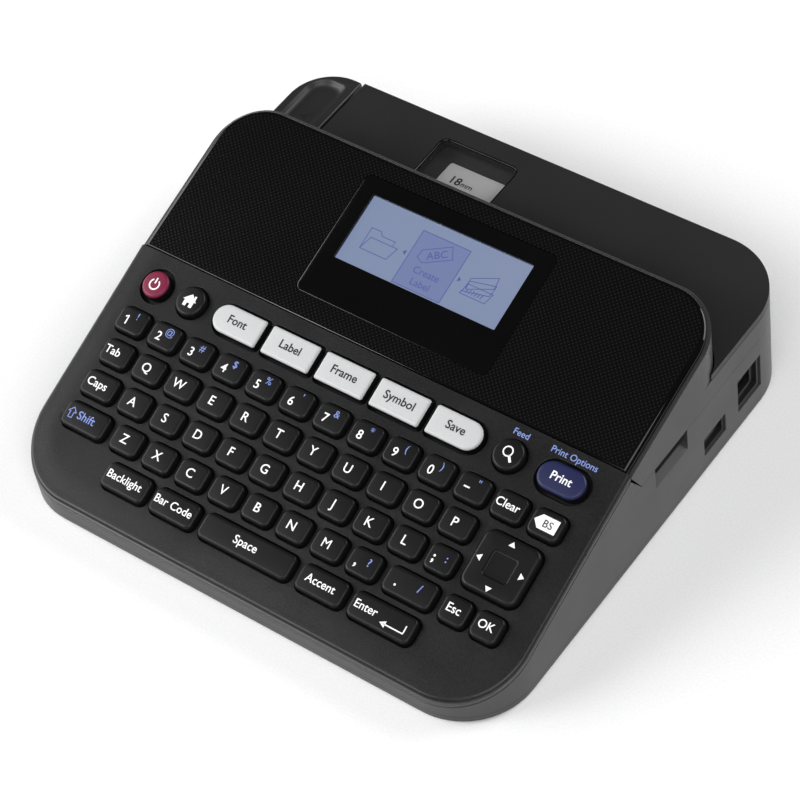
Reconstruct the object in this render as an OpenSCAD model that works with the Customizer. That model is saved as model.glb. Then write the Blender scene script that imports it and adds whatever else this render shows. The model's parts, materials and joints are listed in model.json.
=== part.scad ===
// Desktop label maker: a wedge-shaped keyboard case with a raised display hood,
// a hinged tape cover, a cutter lever, a tape cassette, a print drive and a battery bay.
// X runs across the case (right is +X), Y runs to the back, Z is up, all in millimetres.
// The origin is at the middle of the footprint, on the surface that the feet stand on.

/* [Case] */
// Width of the case
case_w = 190; // [188:1:196]
// Depth of the case
case_d = 178; // [177:0.5:180]
// Plan radius of the case corners
corner_r = 24; // [22:1:26]
// Radius of the rear left corner, under the cutter lever
lever_corner_r = 16; // [14:1:20]
// Thickness of the moulded walls
wall = 2.2; // [2:0.1:2.4]
// Height of the underside above the table
ground_gap = 1.2; // [1:0.1:1.4]
// Height of the split between the lower and the upper housing
split_z = 30.6; // [30.4:0.1:31]

/* [Keyboard] */
// Slope of the keyboard deck, in degrees
deck_tilt = 20.96; // [20.8:0.02:21.1]
// Height of the deck plane at the front edge
deck_front_z = 10.93; // [10.8:0.01:11.1]
// Sideways pitch of the keys
key_pitch = 13.45; // [13.35:0.05:13.5]
// Distance between key rows, along the deck
row_pitch = 11.8; // [11.7:0.1:11.9]
// Width of a letter key
key_w = 11.3; // [11:0.1:11.4]
// Depth of a letter key, along the deck
key_h = 9; // [8.8:0.1:9.2]
// Height of the keys above the deck
key_rise = 2.3; // [2:0.1:2.5]

/* [Display hood] */
// Slope of the display panel, in degrees
panel_tilt = 17.42; // [17.2:0.02:17.6]
// Depth position of the joint between the deck and the panel
seam_y = -7.7; // [-8:0.1:-7.5]
// Depth position of the hood's rear wall
hood_y = 51.3; // [51:0.1:51.5]
// Plan radius of the hood's rear corners
hood_r = 18; // [16:1:20]

/* [Tape cover and cutter] */
// Height of the top of the tape cover
cover_z = 41.3; // [41.2:0.1:41.6]
// Thickness of the tape cover
cover_t = 2.4; // [2.2:0.1:2.4]
// Left edge of the tape cover
cover_left = -74.7; // [-74.8:0.1:-74.5]

/* [Print drive] */
// Radius of the platen roller
platen_r = 4.5; // [4:0.1:4.6]
// Outer radius of the full tape roll
roll_r = 13.6; // [10:0.1:13.8]

/* [Hidden] */
$fn = 48;
thin = 0.01;
far = 400;

half_w = case_w / 2;
half_d = case_d / 2;
floor_top = ground_gap + 2.4;
deck_edge_drop = 3.6;
deck_skin = 2;
edge_r = 2.4;
panel_skin = 2.1;
panel_inset = 1.3;
hood_skin = 2.2;
seam_gap = 0.1;
split_y = seam_y + 5.1;
cover_under_z = cover_z - cover_t;
rim_z = cover_under_z - 0.3;
part_gap = 0.5;

// Rows of keys: distance up the deck of each row's centre line
bottom_t = 14.8;
z_row_t = bottom_t + row_pitch;
a_row_t = z_row_t + row_pitch;
q_row_t = a_row_t + row_pitch;
number_row_t = q_row_t + row_pitch;
function_t = number_row_t + 14.2;
// Rows of keys: sideways place of each row's first key
number_row_x = -81;
q_row_x = -79.63;
a_row_x = -77.57;
z_row_x = -72.85;
key_r = 2.4;
key_gap = 0.35;
flange = 0.5;
flange_top = -2.3;
flange_t = 0.8;
function_h = 10.8;
function_w = 19.8;
function_r = 1.2;
function_pitch = 21.35;
function_x = -46.75;
print_x = 77.3;
print_w = 18.2;
print_h = 11;
board_top = -5;
board_t = 1.4;

// Display: the lens and the visible glass, up the panel from the seam
lens_w = 74.6;
lens_t0 = 8;
lens_t1 = 53.3;
lens_thick = 1.2;
glass_w = 65.2;
glass_t0 = 21.4;
glass_t1 = 49.1;

// Tape cover hinge
hinge_y = half_d - 2.5;
hinge_z = 34.2;
hinge_barrel_r = 2.5;
skirt_x0 = -71;
skirt_x1 = 74.5;
hinge_pin_r = 1;
window_x0 = -36.4;
window_x1 = -5.2;
window_y0 = 57;
window_y1 = 81.7;
window_r = 3;

// Cutter
lever_right = cover_left - 1.2;
lever_y = 57;
lever_z = 35;
lever_skirt_z = 36.4;
lever_pin_r = 1.5;
ear_t = 2;
tape_y = 66.7;
slot_w = 4.8;
slot_z0 = 13;
slot_z1 = 33.2;
blade_pivot = [74, 12.2];

// Drive train, seen from above
plate_z = 8.6;
plate_t = 1.2;
gear_m = 0.8;
gear_z = 10.3;
gear_t = 2.2;
platen_xy = [-70, 62];
idler_xy = [-74, 48.17];
motor_xy = [-76, 36.34];
takeup_xy = [-48, 66.2];
platen_teeth = 16;
idler_teeth = 20;
motor_teeth = 10;
takeup_teeth = 40;
roll_xy = [-18, 68.2];

// Cassette
cassette_x0 = -61;
cassette_x1 = 4;
cassette_y0 = 53;
cassette_y1 = 83.4;
cassette_z0 = 13;
cassette_z1 = 36.6;
cassette_low = [cassette_x0, cassette_y0, cassette_z0];
cassette_high = [cassette_x1, cassette_y1, cassette_z1];
cassette_skin = [1.2, 1.2, 1.2];

// Battery bay
cell_r = 7.1;
cell_len = 49.3;
cell_pitch = 14.9;
cell_z = 11.8;
bay_x0 = -62;
bay_x1 = 30;
bay_y0 = -14;
bay_y1 = 41.4;
bay_z = 19.4;
bay_wall = 1.6;
door_t = 1.6;

// Sockets in the right wall
dc_y0 = 51.8;
dc_y1 = 65.3;
dc_z0 = 8.6;
dc_z1 = 23;
usb_y0 = 31.8;
usb_y1 = 44.2;
usb_z0 = 8;
usb_z1 = 16;
socket_depth = 4.6;
circuit_z = 5.6;
circuit_t = 1.4;

// Finger notch in the right wall
notch_y0 = 4.9;
notch_y1 = 22.8;
notch_z0 = 21.5;
notch_slot_z = 26;
notch_depth = 4.7;

screw_r = 1.3;
post_r = 2.6;
post_xy = [[-80, -76], [80, -76], [-90, -14], [90, -14], [-90, 12], [85, 71]];
foot_xy = [[-72, -70], [72, -70], [-74, 64], [70, 64]];
foot_r = 6;

function deck_z(y) = deck_front_z + tan(deck_tilt) * (y + half_d);
seam_z = deck_z(seam_y);
function panel_z(y) = seam_z + tan(panel_tilt) * (y - seam_y);
function pitch_r(teeth) = gear_m * teeth / 2;
function heading(a, b) = atan2(b[1] - a[1], b[0] - a[0]);
// Turn of a gear at b that meshes with a gear at a, which is itself turned by turn_a
function mesh_turn(a, b, teeth_a, turn_a, teeth_b) =
    heading(a, b) + 180 + 180 / teeth_b - (turn_a - heading(a, b)) * teeth_a / teeth_b;
platen_turn = heading(platen_xy, idler_xy);
idler_turn = mesh_turn(platen_xy, idler_xy, platen_teeth, platen_turn, idler_teeth);
motor_turn = mesh_turn(idler_xy, motor_xy, idler_teeth, idler_turn, motor_teeth);
takeup_turn = mesh_turn(platen_xy, takeup_xy, platen_teeth, platen_turn, takeup_teeth);

// ---- Shared shapes ----

// Places children on the deck: X across, Y up the slope, Z out of the deck
module on_deck() {
    translate([0, -half_d, deck_front_z]) rotate([deck_tilt, 0, 0]) children();
}

// Places children on the display panel, measured up the slope from the seam
module on_panel() {
    translate([0, seam_y, seam_z]) rotate([panel_tilt, 0, 0]) children();
}

// Block given by its lowest and highest corners
module block(low, high) {
    translate(low) cube(high - low);
}

// Cylinder along X between two places
module rod_x(r, x0, x1, y, z) {
    translate([x0, y, z]) rotate([0, 90, 0]) cylinder(r = r, h = x1 - x0);
}

// Plate outline in the YZ plane, extruded along X
module along_x(x0, x1) {
    translate([x0, 0, 0]) rotate([90, 0, 90]) linear_extrude(x1 - x0) children();
}

// Rectangle with round corners, centred on the origin
module rounded(w, h, r) {
    if (w > 2 * r) square([w - 2 * r, h], center = true);
    if (h > 2 * r) square([w, h - 2 * r], center = true);
    for (x = [-1, 1], y = [-1, 1])
        translate([x * (w / 2 - r), y * (h / 2 - r)]) circle(r);
}

// Outline of the case in plan, drawn in by inset
module case_plan(inset = 0) {
    rounded(case_w - 2 * inset, case_d - 2 * inset, corner_r - inset);
    // The corner that carries the cutter lever is tighter
    translate([inset - half_w, half_d - corner_r]) square([corner_r - inset, corner_r - lever_corner_r]);
    translate([lever_corner_r - half_w, half_d - corner_r]) {
        square([corner_r - lever_corner_r, corner_r - inset]);
        translate([0, corner_r - lever_corner_r]) circle(lever_corner_r - inset);
    }
}

// Outline of the hood in plan, from front_y back to the hood's rear wall
module hood_plan(inset = 0, front_y = seam_y) {
    side = half_w - inset;
    corner_y = hood_y - hood_r;
    translate([-side, front_y]) square([2 * side, corner_y - front_y]);
    translate([hood_r - half_w, front_y]) square([case_w - 2 * hood_r, hood_y - inset - front_y]);
    for (x = [-1, 1])
        translate([x * (half_w - hood_r), corner_y]) circle(hood_r - inset);
}

// ---- Keys ----

// One key: a cap that stands out of the deck, with a flange that keeps it under the deck
module key(x, t, w, h, r) {
    on_deck() translate([x, t, 0]) {
        translate([0, 0, flange_top - thin]) linear_extrude(key_rise - flange_top + thin) rounded(w, h, r);
        translate([0, 0, flange_top - flange_t])
            linear_extrude(flange_t) rounded(w + 2 * flange, h + 2 * flange, r + flange);
    }
}

module key_hole(x, t, w, h, r) {
    on_deck() translate([x, t, -10])
        linear_extrude(20) rounded(w + 2 * key_gap, h + 2 * key_gap, r + key_gap);
}

// Each key as [x, t, width, depth, corner radius]
power_spec = [-80.8, function_t, 11.4, 11.4, 5.7];
home_spec = [-66.2, function_t, 10.6, 10.6, 5.3];
preview_spec = [58, function_t, 10.6, 10.6, 5.3];
print_spec = [print_x, function_t, print_w, print_h, print_h / 2];
clear_spec = [number_row_x + 11 * key_pitch, number_row_t, key_w, key_h, key_r];
backspace_spec = [number_row_x + 12 * key_pitch, number_row_t, key_w, key_h, key_r];
arrow_spec = [74.4, 44.4, 20.4, 19.8, 3.4];
esc_spec = [68.6, z_row_t, 9.9, key_h, key_r];
ok_spec = [80.2, z_row_t, 9.9, key_h, key_r];
space_spec = [-3, bottom_t, 35.6, key_h, key_r];
enter_spec = [49, bottom_t, 23.6, key_h, key_r];
shift_spec = [-76.5, z_row_t, 17.4, key_h, key_r];
caps_spec = [-78.7, a_row_t, 13.2, key_h, key_r];
tab_spec = [q_row_x, q_row_t, key_w, key_h, key_r];
accent_spec = [26.2, bottom_t, 17.6, key_h, key_r];
backlight_spec = [-51.6, bottom_t, 17.6, key_h, key_r];
barcode_spec = [-31.8, bottom_t, 17.6, key_h, key_r];
colon_spec = [56.4, a_row_t, 10.2, key_h, key_r];
stop_spec = [52, z_row_t, 18, key_h, key_r];
function row(x0, t, first, last) =
    [for (i = [first : last]) [x0 + i * key_pitch, t, key_w, key_h, key_r]];
number_row = row(number_row_x, number_row_t, 0, 10);
top_row = row(q_row_x, q_row_t, 1, 10);
home_row = concat(row(a_row_x, a_row_t, 1, 9), [colon_spec]);
bottom_row = concat(row(z_row_x, z_row_t, 1, 8), [stop_spec]);
function function_spec(i) = [function_x + i * function_pitch, function_t, function_w, function_h, function_r];
single_keys = [power_spec, home_spec, preview_spec, print_spec, clear_spec, backspace_spec, arrow_spec,
               esc_spec, ok_spec, space_spec, enter_spec, shift_spec, caps_spec, tab_spec,
               accent_spec, backlight_spec, barcode_spec];
all_keys = concat(single_keys, number_row, top_row, home_row, bottom_row);

module make_key(s) {
    key(s[0], s[1], s[2], s[3], s[4]);
}

// Outline of a function key: end is -1 or 1 where its left or right end is a half circle
module function_outline(end, grow = 0) {
    w = function_w + 2 * grow;
    h = function_h + 2 * grow;
    if (end == 0)
        rounded(w, h, function_r + grow);
    else {
        translate([end * (w - h) / 2, 0]) circle(h / 2);
        translate([end * (w - h) / 4 - end * w / 4, 0]) rounded(w - h / 2, h, function_r + grow);
        translate([end * (w - h) / 4, 0]) square([(w - h) / 2, h], center = true);
    }
}

module function_key(i, end) {
    s = function_spec(i);
    on_deck() translate([s[0], s[1], 0]) {
        translate([0, 0, flange_top - thin])
            linear_extrude(key_rise - flange_top + thin) function_outline(end);
        translate([0, 0, flange_top - flange_t]) linear_extrude(flange_t) function_outline(end, flange);
    }
}

module function_hole(i, end) {
    s = function_spec(i);
    on_deck() translate([s[0], s[1], -10]) linear_extrude(20) function_outline(end, key_gap);
}

function function_end(i) = i == 0 ? -1 : i == 4 ? 1 : 0;

module power_key() { color("crimson") make_key(power_spec); }
module home_key() { color([0.1, 0.1, 0.1]) make_key(home_spec); }
module font_key() { color("white") function_key(0, function_end(0)); }
module label_key() { color("white") function_key(1, function_end(1)); }
module frame_key() { color("white") function_key(2, function_end(2)); }
module symbol_key() { color("white") function_key(3, function_end(3)); }
module save_key() { color("white") function_key(4, function_end(4)); }
module preview_key() { color([0.1, 0.1, 0.1]) make_key(preview_spec); }
module print_key() { color("midnightblue") make_key(print_spec); }
module clear_key() { color([0.1, 0.1, 0.1]) make_key(clear_spec); }
module backspace_key() { color([0.1, 0.1, 0.1]) make_key(backspace_spec); }
module esc_key() { color([0.1, 0.1, 0.1]) make_key(esc_spec); }
module ok_key() { color([0.1, 0.1, 0.1]) make_key(ok_spec); }
module space_key() { color([0.1, 0.1, 0.1]) make_key(space_spec); }
module enter_key() { color([0.1, 0.1, 0.1]) make_key(enter_spec); }
module shift_key() { color([0.1, 0.1, 0.1]) make_key(shift_spec); }
module caps_key() { color([0.1, 0.1, 0.1]) make_key(caps_spec); }
module tab_key() { color([0.1, 0.1, 0.1]) make_key(tab_spec); }
module accent_key() { color([0.1, 0.1, 0.1]) make_key(accent_spec); }
module backlight_key() { color([0.1, 0.1, 0.1]) make_key(backlight_spec); }
module barcode_key() { color([0.1, 0.1, 0.1]) make_key(barcode_spec); }

// Four-way pad with a square hollow in its middle
module arrow_pad() {
    color([0.1, 0.1, 0.1])
        difference() {
            make_key(arrow_spec);
            on_deck() translate([arrow_spec[0], arrow_spec[1], key_rise - 0.5])
                linear_extrude(2) rounded(7.4, 7.2, 1);
        }
}

module number_row_keys() { color([0.1, 0.1, 0.1]) for (s = number_row) make_key(s); }
module top_row_keys() { color([0.1, 0.1, 0.1]) for (s = top_row) make_key(s); }
module home_row_keys() { color([0.1, 0.1, 0.1]) for (s = home_row) make_key(s); }
module bottom_row_keys() { color([0.1, 0.1, 0.1]) for (s = bottom_row) make_key(s); }

// ---- Case ----

// Side profile that bounds the lower housing from above
module lower_profile() {
    deck_end_y = seam_y - seam_gap;
    polygon([
        [-half_d - 5, 0],
        [-half_d - 5, deck_z(-half_d - 5) - deck_edge_drop],
        [deck_end_y, deck_z(deck_end_y) - deck_edge_drop],
        [split_y, split_z],
        [half_d + 5, split_z],
        [half_d + 5, 0]
    ]);
}

module port_cut(y0, y1, z0, z1) {
    block([half_w - socket_depth - 1, y0, z0], [half_w + 1, y1, z1]);
}

// Slot for the printed tape, through the left walls
module tape_slot_cut() {
    block([-half_w - 1, tape_y - slot_w / 2, slot_z0], [-half_w + 4, tape_y + slot_w / 2, slot_z1]);
}

module notch_cut() {
    x_in = half_w - notch_depth;
    translate([0, notch_y1, 0]) rotate([90, 0, 0]) linear_extrude(notch_y1 - notch_y0)
        polygon([
            [half_w + 1, notch_z0 - 1],
            [half_w + 1, split_z + 1],
            [x_in, split_z + 1],
            [x_in, notch_slot_z],
            [x_in + 1.2, notch_slot_z]
        ]);
}

module post_bore(p) {
    translate([p[0], p[1], -1]) cylinder(r = screw_r, h = 17);
    translate([p[0], p[1], -1]) cylinder(r = 2.6, h = 1 + ground_gap + 1.2);
}

function post_top(p) = p[1] < seam_y ? deck_z(p[1] - post_r) - 2.6 : split_z - 0.2;

module post(p) {
    translate([p[0], p[1], ground_gap + 0.5]) cylinder(r = post_r, h = post_top(p) - ground_gap - 0.5);
}

module lower_housing() {
    color([0.3, 0.3, 0.31])
        difference() {
            union() {
                difference() {
                    intersection() {
                        translate([0, 0, ground_gap]) linear_extrude(seam_z) case_plan();
                        along_x(-half_w - 1, half_w + 1) lower_profile();
                    }
                    translate([0, 0, floor_top]) linear_extrude(far) case_plan(wall);
                }
                for (p = post_xy) post(p);
                // Battery bay walls and ceiling
                block([bay_x0 - bay_wall, bay_y0 - bay_wall, floor_top - thin],
                      [bay_x1 + bay_wall, bay_y1 + bay_wall, bay_z + bay_wall]);
                // Blocks behind the sockets and the finger notch
                block([half_w - socket_depth, dc_y0 - 1.6, dc_z0 - 1.6],
                      [half_w - 1, dc_y1 + 1, dc_z1 + 1.6]);
                block([half_w - socket_depth, usb_y0 - 1.6, usb_z0 - 1.6],
                      [half_w - 1, usb_y1 + 1.6, usb_z1 + 1.6]);
                block([half_w - notch_depth - 1.6, notch_y0 - 1.6, notch_z0 - 1.6],
                      [half_w - 1, notch_y1 + 1.6, split_z]);
                // Ribs that carry the circuit board and the chassis plate
                for (x = [44, 80]) block([x, 24, floor_top - thin], [x + 2, 66, circuit_z]);
                for (x = [-86, -72]) block([x, 24, floor_top - thin], [x + 2, 72, plate_z]);
                for (x = [-40, -6]) block([x, 46, floor_top - thin], [x + 2, 80, plate_z]);
            }
            block([bay_x0, bay_y0, -1], [bay_x1, bay_y1, bay_z]);
            block([bay_x0 - 1, bay_y0 - 1, -1], [bay_x1 + 1, bay_y1 + 1, ground_gap + door_t + 0.1]);
            port_cut(dc_y0, dc_y1, dc_z0, dc_z1);
            port_cut(usb_y0, usb_y1, usb_z0, usb_z1);
            notch_cut();
            tape_slot_cut();
            for (p = post_xy) post_bore(p);
            for (p = foot_xy)
                translate([p[0], p[1], -1]) cylinder(r = foot_r + 0.1, h = 1 + ground_gap + 0.8);
        }
}

// Hood block under the display cover, drawn in by inset and lowered by drop
module hood_block(inset, drop, bottom, front) {
    intersection() {
        translate([0, 0, bottom]) linear_extrude(far) hood_plan(inset, seam_y);
        along_x(-half_w - 1, half_w + 1)
            polygon([
                [split_y + seam_gap + front, bottom],
                [seam_y + seam_gap + front, panel_z(seam_y) - drop],
                [hood_y + 1, panel_z(hood_y + 1 - front) - drop],
                [hood_y + 1, bottom]
            ]);
    }
}

// Lug that carries one hinge pin of the tape cover
module hinge_lug(x0, x1) {
    block([x0, hinge_y - 2.4, split_z], [x1, half_d - 0.1, hinge_z]);
    rod_x(2.4, x0, x1, hinge_y, hinge_z);
}

module upper_housing() {
    color([0.3, 0.3, 0.31])
        difference() {
            union() {
                difference() {
                    hood_block(0, panel_skin, split_z, 0);
                    hood_block(wall, panel_skin + hood_skin, split_z - 1, 1.6);
                    on_panel() translate([-glass_w / 2 - 0.4, glass_t0 - 0.4, -8])
                        cube([glass_w + 0.8, glass_t1 - glass_t0 + 0.8, 16]);
                }
                // Rim round the tape bay
                difference() {
                    translate([0, 0, split_z]) linear_extrude(rim_z - split_z)
                        difference() {
                            case_plan();
                            case_plan(wall);
                            translate([-far / 2, hood_y - hood_r - far]) square(far);
                            hood_plan(wall / 2);
                        }
                    block([cover_left - 0.3, half_d - 8, split_z + 0.8], [skirt_x1 + 3.8, half_d + 1, far]);
                    // Slanted relief that the cutter lever drops into
                    along_x(-half_w - 1, lever_right + 1)
                        polygon([[30, 36.1], [52.2, 36.1], [half_d + 1, 31.3], [half_d + 1, far], [30, far]]);
                }
                hinge_lug(cover_left + 0.2, skirt_x0 - 0.4);
                hinge_lug(skirt_x1 + 0.4, skirt_x1 + 3.4);
            }
            tape_slot_cut();
            rod_x(hinge_pin_r, cover_left - 1, skirt_x1 + 10, hinge_y, hinge_z);
        }
}

// Deck slab between two planes below the deck, drawn in by inset and rounded at its front edge
module deck_block(inset, top_drop, bottom_drop) {
    front_y = -half_d + inset;
    back_y = seam_y - seam_gap - (inset > 0 ? 1.2 : 0);
    nose_r = edge_r - top_drop / 2;
    nose_z = deck_z(front_y + nose_r) - top_drop - nose_r / cos(deck_tilt);
    intersection() {
        linear_extrude(far) case_plan(inset);
        along_x(-half_w - 1, half_w + 1)
            polygon(concat(
                [[front_y, deck_z(front_y) - bottom_drop]],
                [for (a = [180 : -10 : 90 + deck_tilt])
                    [front_y + nose_r + nose_r * cos(a), nose_z + nose_r * sin(a)]],
                [[back_y, deck_z(back_y) - top_drop], [back_y, deck_z(back_y) - bottom_drop]]
            ));
    }
}

module keyboard_cover() {
    color([0.2, 0.2, 0.21])
        difference() {
            deck_block(0, 0, deck_edge_drop);
            deck_block(wall, deck_skin, deck_edge_drop + 1);
            for (s = all_keys) key_hole(s[0], s[1], s[2], s[3], s[4]);
            for (i = [0 : 4]) function_hole(i, function_end(i));
        }
}

module display_cover() {
    color([0.08, 0.08, 0.09])
        difference() {
            intersection() {
                linear_extrude(far) hood_plan(panel_inset, seam_y);
                along_x(-half_w - 1, half_w + 1)
                    polygon([
                        [seam_y + seam_gap, panel_z(seam_y + seam_gap) - panel_skin],
                        [seam_y + seam_gap, panel_z(seam_y + seam_gap)],
                        [hood_y, panel_z(hood_y)],
                        [hood_y, panel_z(hood_y) - panel_skin]
                    ]);
            }
            on_panel() translate([-lens_w / 2, lens_t0, -lens_thick])
                cube([lens_w, lens_t1 - lens_t0, 5]);
            on_panel() translate([-glass_w / 2 - 0.4, glass_t0 - 0.4, -8])
                cube([glass_w + 0.8, glass_t1 - glass_t0 + 0.8, 16]);
        }
}

module display_window() {
    color([0.03, 0.03, 0.04])
        on_panel() translate([0, (lens_t0 + lens_t1) / 2, -lens_thick])
            linear_extrude(lens_thick) rounded(lens_w - 0.1, lens_t1 - lens_t0 - 0.1, 2.5);
}

// Liquid crystal module: glass under the lens, on a frame under the hood
module lcd_module() {
    color([0.55, 0.63, 0.8])
        on_panel() {
            translate([-glass_w / 2, glass_t0, -6]) cube([glass_w, glass_t1 - glass_t0, 4.7]);
            translate([-glass_w / 2 - 3, glass_t0 - 3, -9]) cube([glass_w + 6, glass_t1 - glass_t0 + 6, 4.2]);
        }
}

// ---- Tape cover and cutter ----

module behind_hood(gap) {
    difference() {
        children();
        hood_plan(-gap, -far);
    }
}

// Lens opening of the tape cover, drawn in by inset
module window_outline(inset) {
    translate([(window_x0 + window_x1) / 2, (window_y0 + window_y1) / 2])
        rounded(window_x1 - window_x0 - 2 * inset, window_y1 - window_y0 - 2 * inset, window_r - inset);
}

module tape_cover() {
    color([0.17, 0.17, 0.18])
        difference() {
            union() {
                translate([0, 0, cover_under_z]) linear_extrude(cover_t)
                    behind_hood(part_gap)
                        intersection() {
                            case_plan();
                            translate([cover_left, 20]) square(far);
                        }
                block([skirt_x0, hinge_y - hinge_barrel_r, hinge_z], [skirt_x1, half_d, cover_under_z + 0.5]);
                rod_x(hinge_barrel_r, skirt_x0, skirt_x1, hinge_y, hinge_z);
            }
            translate([0, 0, cover_under_z - 1]) linear_extrude(cover_t + 2) window_outline(0.9);
            translate([0, 0, cover_z - 1]) linear_extrude(2) window_outline(0);
            rod_x(hinge_pin_r + 0.05, skirt_x0 - 1, skirt_x0 + 8, hinge_y, hinge_z);
            rod_x(hinge_pin_r + 0.05, skirt_x1 - 8, skirt_x1 + 1, hinge_y, hinge_z);
        }
}

module viewer_window() {
    color([0.5, 0.55, 0.6, 0.5])
        translate([0, 0, cover_z - 1]) linear_extrude(0.8) window_outline(0.05);
}

module hinge_pins() {
    color("silver") {
        rod_x(hinge_pin_r, cover_left + 0.3, skirt_x0 + 7, hinge_y, hinge_z);
        rod_x(hinge_pin_r, skirt_x1 - 7, skirt_x1 + 3.2, hinge_y, hinge_z);
    }
}

// Cutter lever: the left rear corner of the case top, on two ears
module cutter_lever() {
    color([0.2, 0.2, 0.21])
        difference() {
            union() {
                translate([0, 0, cover_under_z - 0.3]) linear_extrude(cover_t + 0.3) lever_plan();
                translate([0, 0, lever_skirt_z]) linear_extrude(cover_z - lever_skirt_z - 1)
                    difference() {
                        lever_plan();
                        case_plan(1.8);
                    }
                for (x = [-91.9, -80.5]) {
                    rod_x(2.8, x, x + ear_t, lever_y, lever_z);
                    block([x, lever_y - 2.8, lever_z], [x + ear_t, lever_y + 2.8, cover_under_z]);
                }
            }
            // Shallow rest for a finger
            translate([lever_right - 8.1, 68, cover_z + 38.6]) rotate([0, 90, 0])
                cylinder(r = 40, h = 10, center = true, $fn = 180);
            rod_x(lever_pin_r + 0.05, -95, -75, lever_y, lever_z);
        }
}

module lever_plan() {
    behind_hood(part_gap)
        intersection() {
            case_plan();
            translate([lever_right - far, 20]) square(far);
        }
}

module lever_pin() {
    color("silver") rod_x(lever_pin_r, -92.2, -78.2, lever_y, lever_z);
}

// Torsion spring round the lever pin, one ring for each turn
module lever_spring() {
    color("silver")
        for (x = [-86.7, -85.95, -85.2])
            translate([x, lever_y, lever_z]) rotate([0, 90, 0])
                rotate_extrude() translate([2.1, 0]) circle(0.33, $fn = 16);
}

// Blade that swings across the tape; y and z are measured in the cut plane
module cutter_blade() {
    color("lightsteelblue")
        difference() {
            union() {
                along_x(-84.7, -84.1)
                    polygon([[72.5, blade_pivot[1]], [68.2, 14.5], [68.2, 34], [71.5, 34], [76.5, 14.5],
                             [75.5, blade_pivot[1]]]);
                along_x(-84.7, -84.1) translate(blade_pivot) circle(2.3);
            }
            rod_x(1.55, -86, -83, blade_pivot[0], blade_pivot[1]);
        }
}

// Blade that the tape is cut against, with the stud that the moving blade turns on
module fixed_blade() {
    color("lightsteelblue") {
        along_x(-83.6, -83)
            polygon([[58.5, plate_z + plate_t], [58.5, 34], [65, 34], [65, 12.4],
                     [70, 12.4], [70, 15], [78, 15], [78, plate_z + plate_t]]);
        rod_x(1.5, -86, -83.3, blade_pivot[0], blade_pivot[1]);
    }
}

// ---- Cassette and print drive ----

module cassette_shell() {
    color([0.25, 0.25, 0.26])
        difference() {
            union() {
                difference() {
                    block(cassette_low, cassette_high);
                    block(cassette_low + cassette_skin, cassette_high - cassette_skin);
                }
                translate([roll_xy[0], roll_xy[1], cassette_z0 + 0.5]) cylinder(r = 4.95, h = 21);
            }
            // Mouth for the tape, and the hole for the take-up spindle
            block([cassette_x0 - 1, tape_y - 1.5, slot_z0 + 2], [cassette_x0 + 3, tape_y + 1.5, slot_z1]);
            translate([takeup_xy[0], takeup_xy[1], cassette_z0 - 1]) cylinder(r = 3.2, h = 3);
        }
}

module tape_roll() {
    color("white")
        translate([roll_xy[0], roll_xy[1], slot_z0 + 2])
            difference() {
                cylinder(r = roll_r, h = 18);
                translate([0, 0, -1]) cylinder(r = 5, h = 20);
            }
}

// Spool that takes up the used ribbon
module takeup_spool() {
    color([0.15, 0.15, 0.15])
        translate([takeup_xy[0], takeup_xy[1], slot_z0 + 2])
            difference() {
                union() {
                    cylinder(r = 6.5, h = 18);
                    cylinder(r = 8.5, h = 0.8);
                }
                translate([0, 0, -1]) cylinder(r = 2.65, h = 20);
            }
}

// Spur gear with straight-flanked teeth; turn sets where its first tooth points
module spur_gear(teeth, turn, bore) {
    step = 360 / teeth;
    root_r = pitch_r(teeth) - 1.25 * gear_m;
    tip_r = pitch_r(teeth) + 0.9 * gear_m;
    tooth = [[-0.26, root_r], [-0.12, tip_r], [0.12, tip_r], [0.26, root_r]];
    difference() {
        linear_extrude(gear_t)
            polygon([for (i = [0 : teeth - 1], p = tooth)
                let (a = turn + (i + p[0]) * step) [p[1] * cos(a), p[1] * sin(a)]]);
        translate([0, 0, -1]) cylinder(r = bore, h = gear_t + 2);
    }
}

module at_gear(xy) {
    translate([xy[0], xy[1], gear_z]) children();
}

module takeup_gear() {
    color("ivory") {
        at_gear(takeup_xy) spur_gear(takeup_teeth, takeup_turn, 1.55);
        at_gear(takeup_xy) translate([0, 0, gear_t - thin])
            difference() {
                cylinder(r = 2.6, h = 20);
                translate([0, 0, -1]) cylinder(r = 1.55, h = 12);
            }
    }
}

module platen_gear() { color("ivory") at_gear(platen_xy) spur_gear(platen_teeth, platen_turn, 1.5); }
module idler_gear() { color("ivory") at_gear(idler_xy) spur_gear(idler_teeth, idler_turn, 1.55); }
module motor_pinion() { color("goldenrod") at_gear(motor_xy) spur_gear(motor_teeth, motor_turn, 1); }

// Rubber roller on a steel shaft, which carries the tape past the print head
module platen_roller() {
    color([0.12, 0.12, 0.12])
        translate([platen_xy[0], platen_xy[1], 0]) {
            translate([0, 0, plate_z + 0.1]) cylinder(r = 1.5, h = 25.7);
            translate([0, 0, slot_z0 + 1]) cylinder(r = platen_r, h = 19.4);
        }
}

// Thermal print head on its finned heat sink
module print_head() {
    color("lightgray") {
        block([-75.5, tape_y + 0.4, 13.4], [-64.8, tape_y + 1.4, 34]);
        block([-75.5, tape_y + 1.4, 13.4], [-64.8, tape_y + 2.6, 34.6]);
        for (z = [15 : 3.2 : 31]) block([-75.5, tape_y + 2.6 - thin, z], [-64.8, tape_y + 4.8, z + 1]);
        block([-75.5, tape_y + 3.6, plate_z + plate_t], [-64.8, tape_y + 4.8, 16]);
        block([-75.5, tape_y + 2.6 - thin, 13.4], [-64.8, tape_y + 4.8, 14.4]);
    }
}

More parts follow.
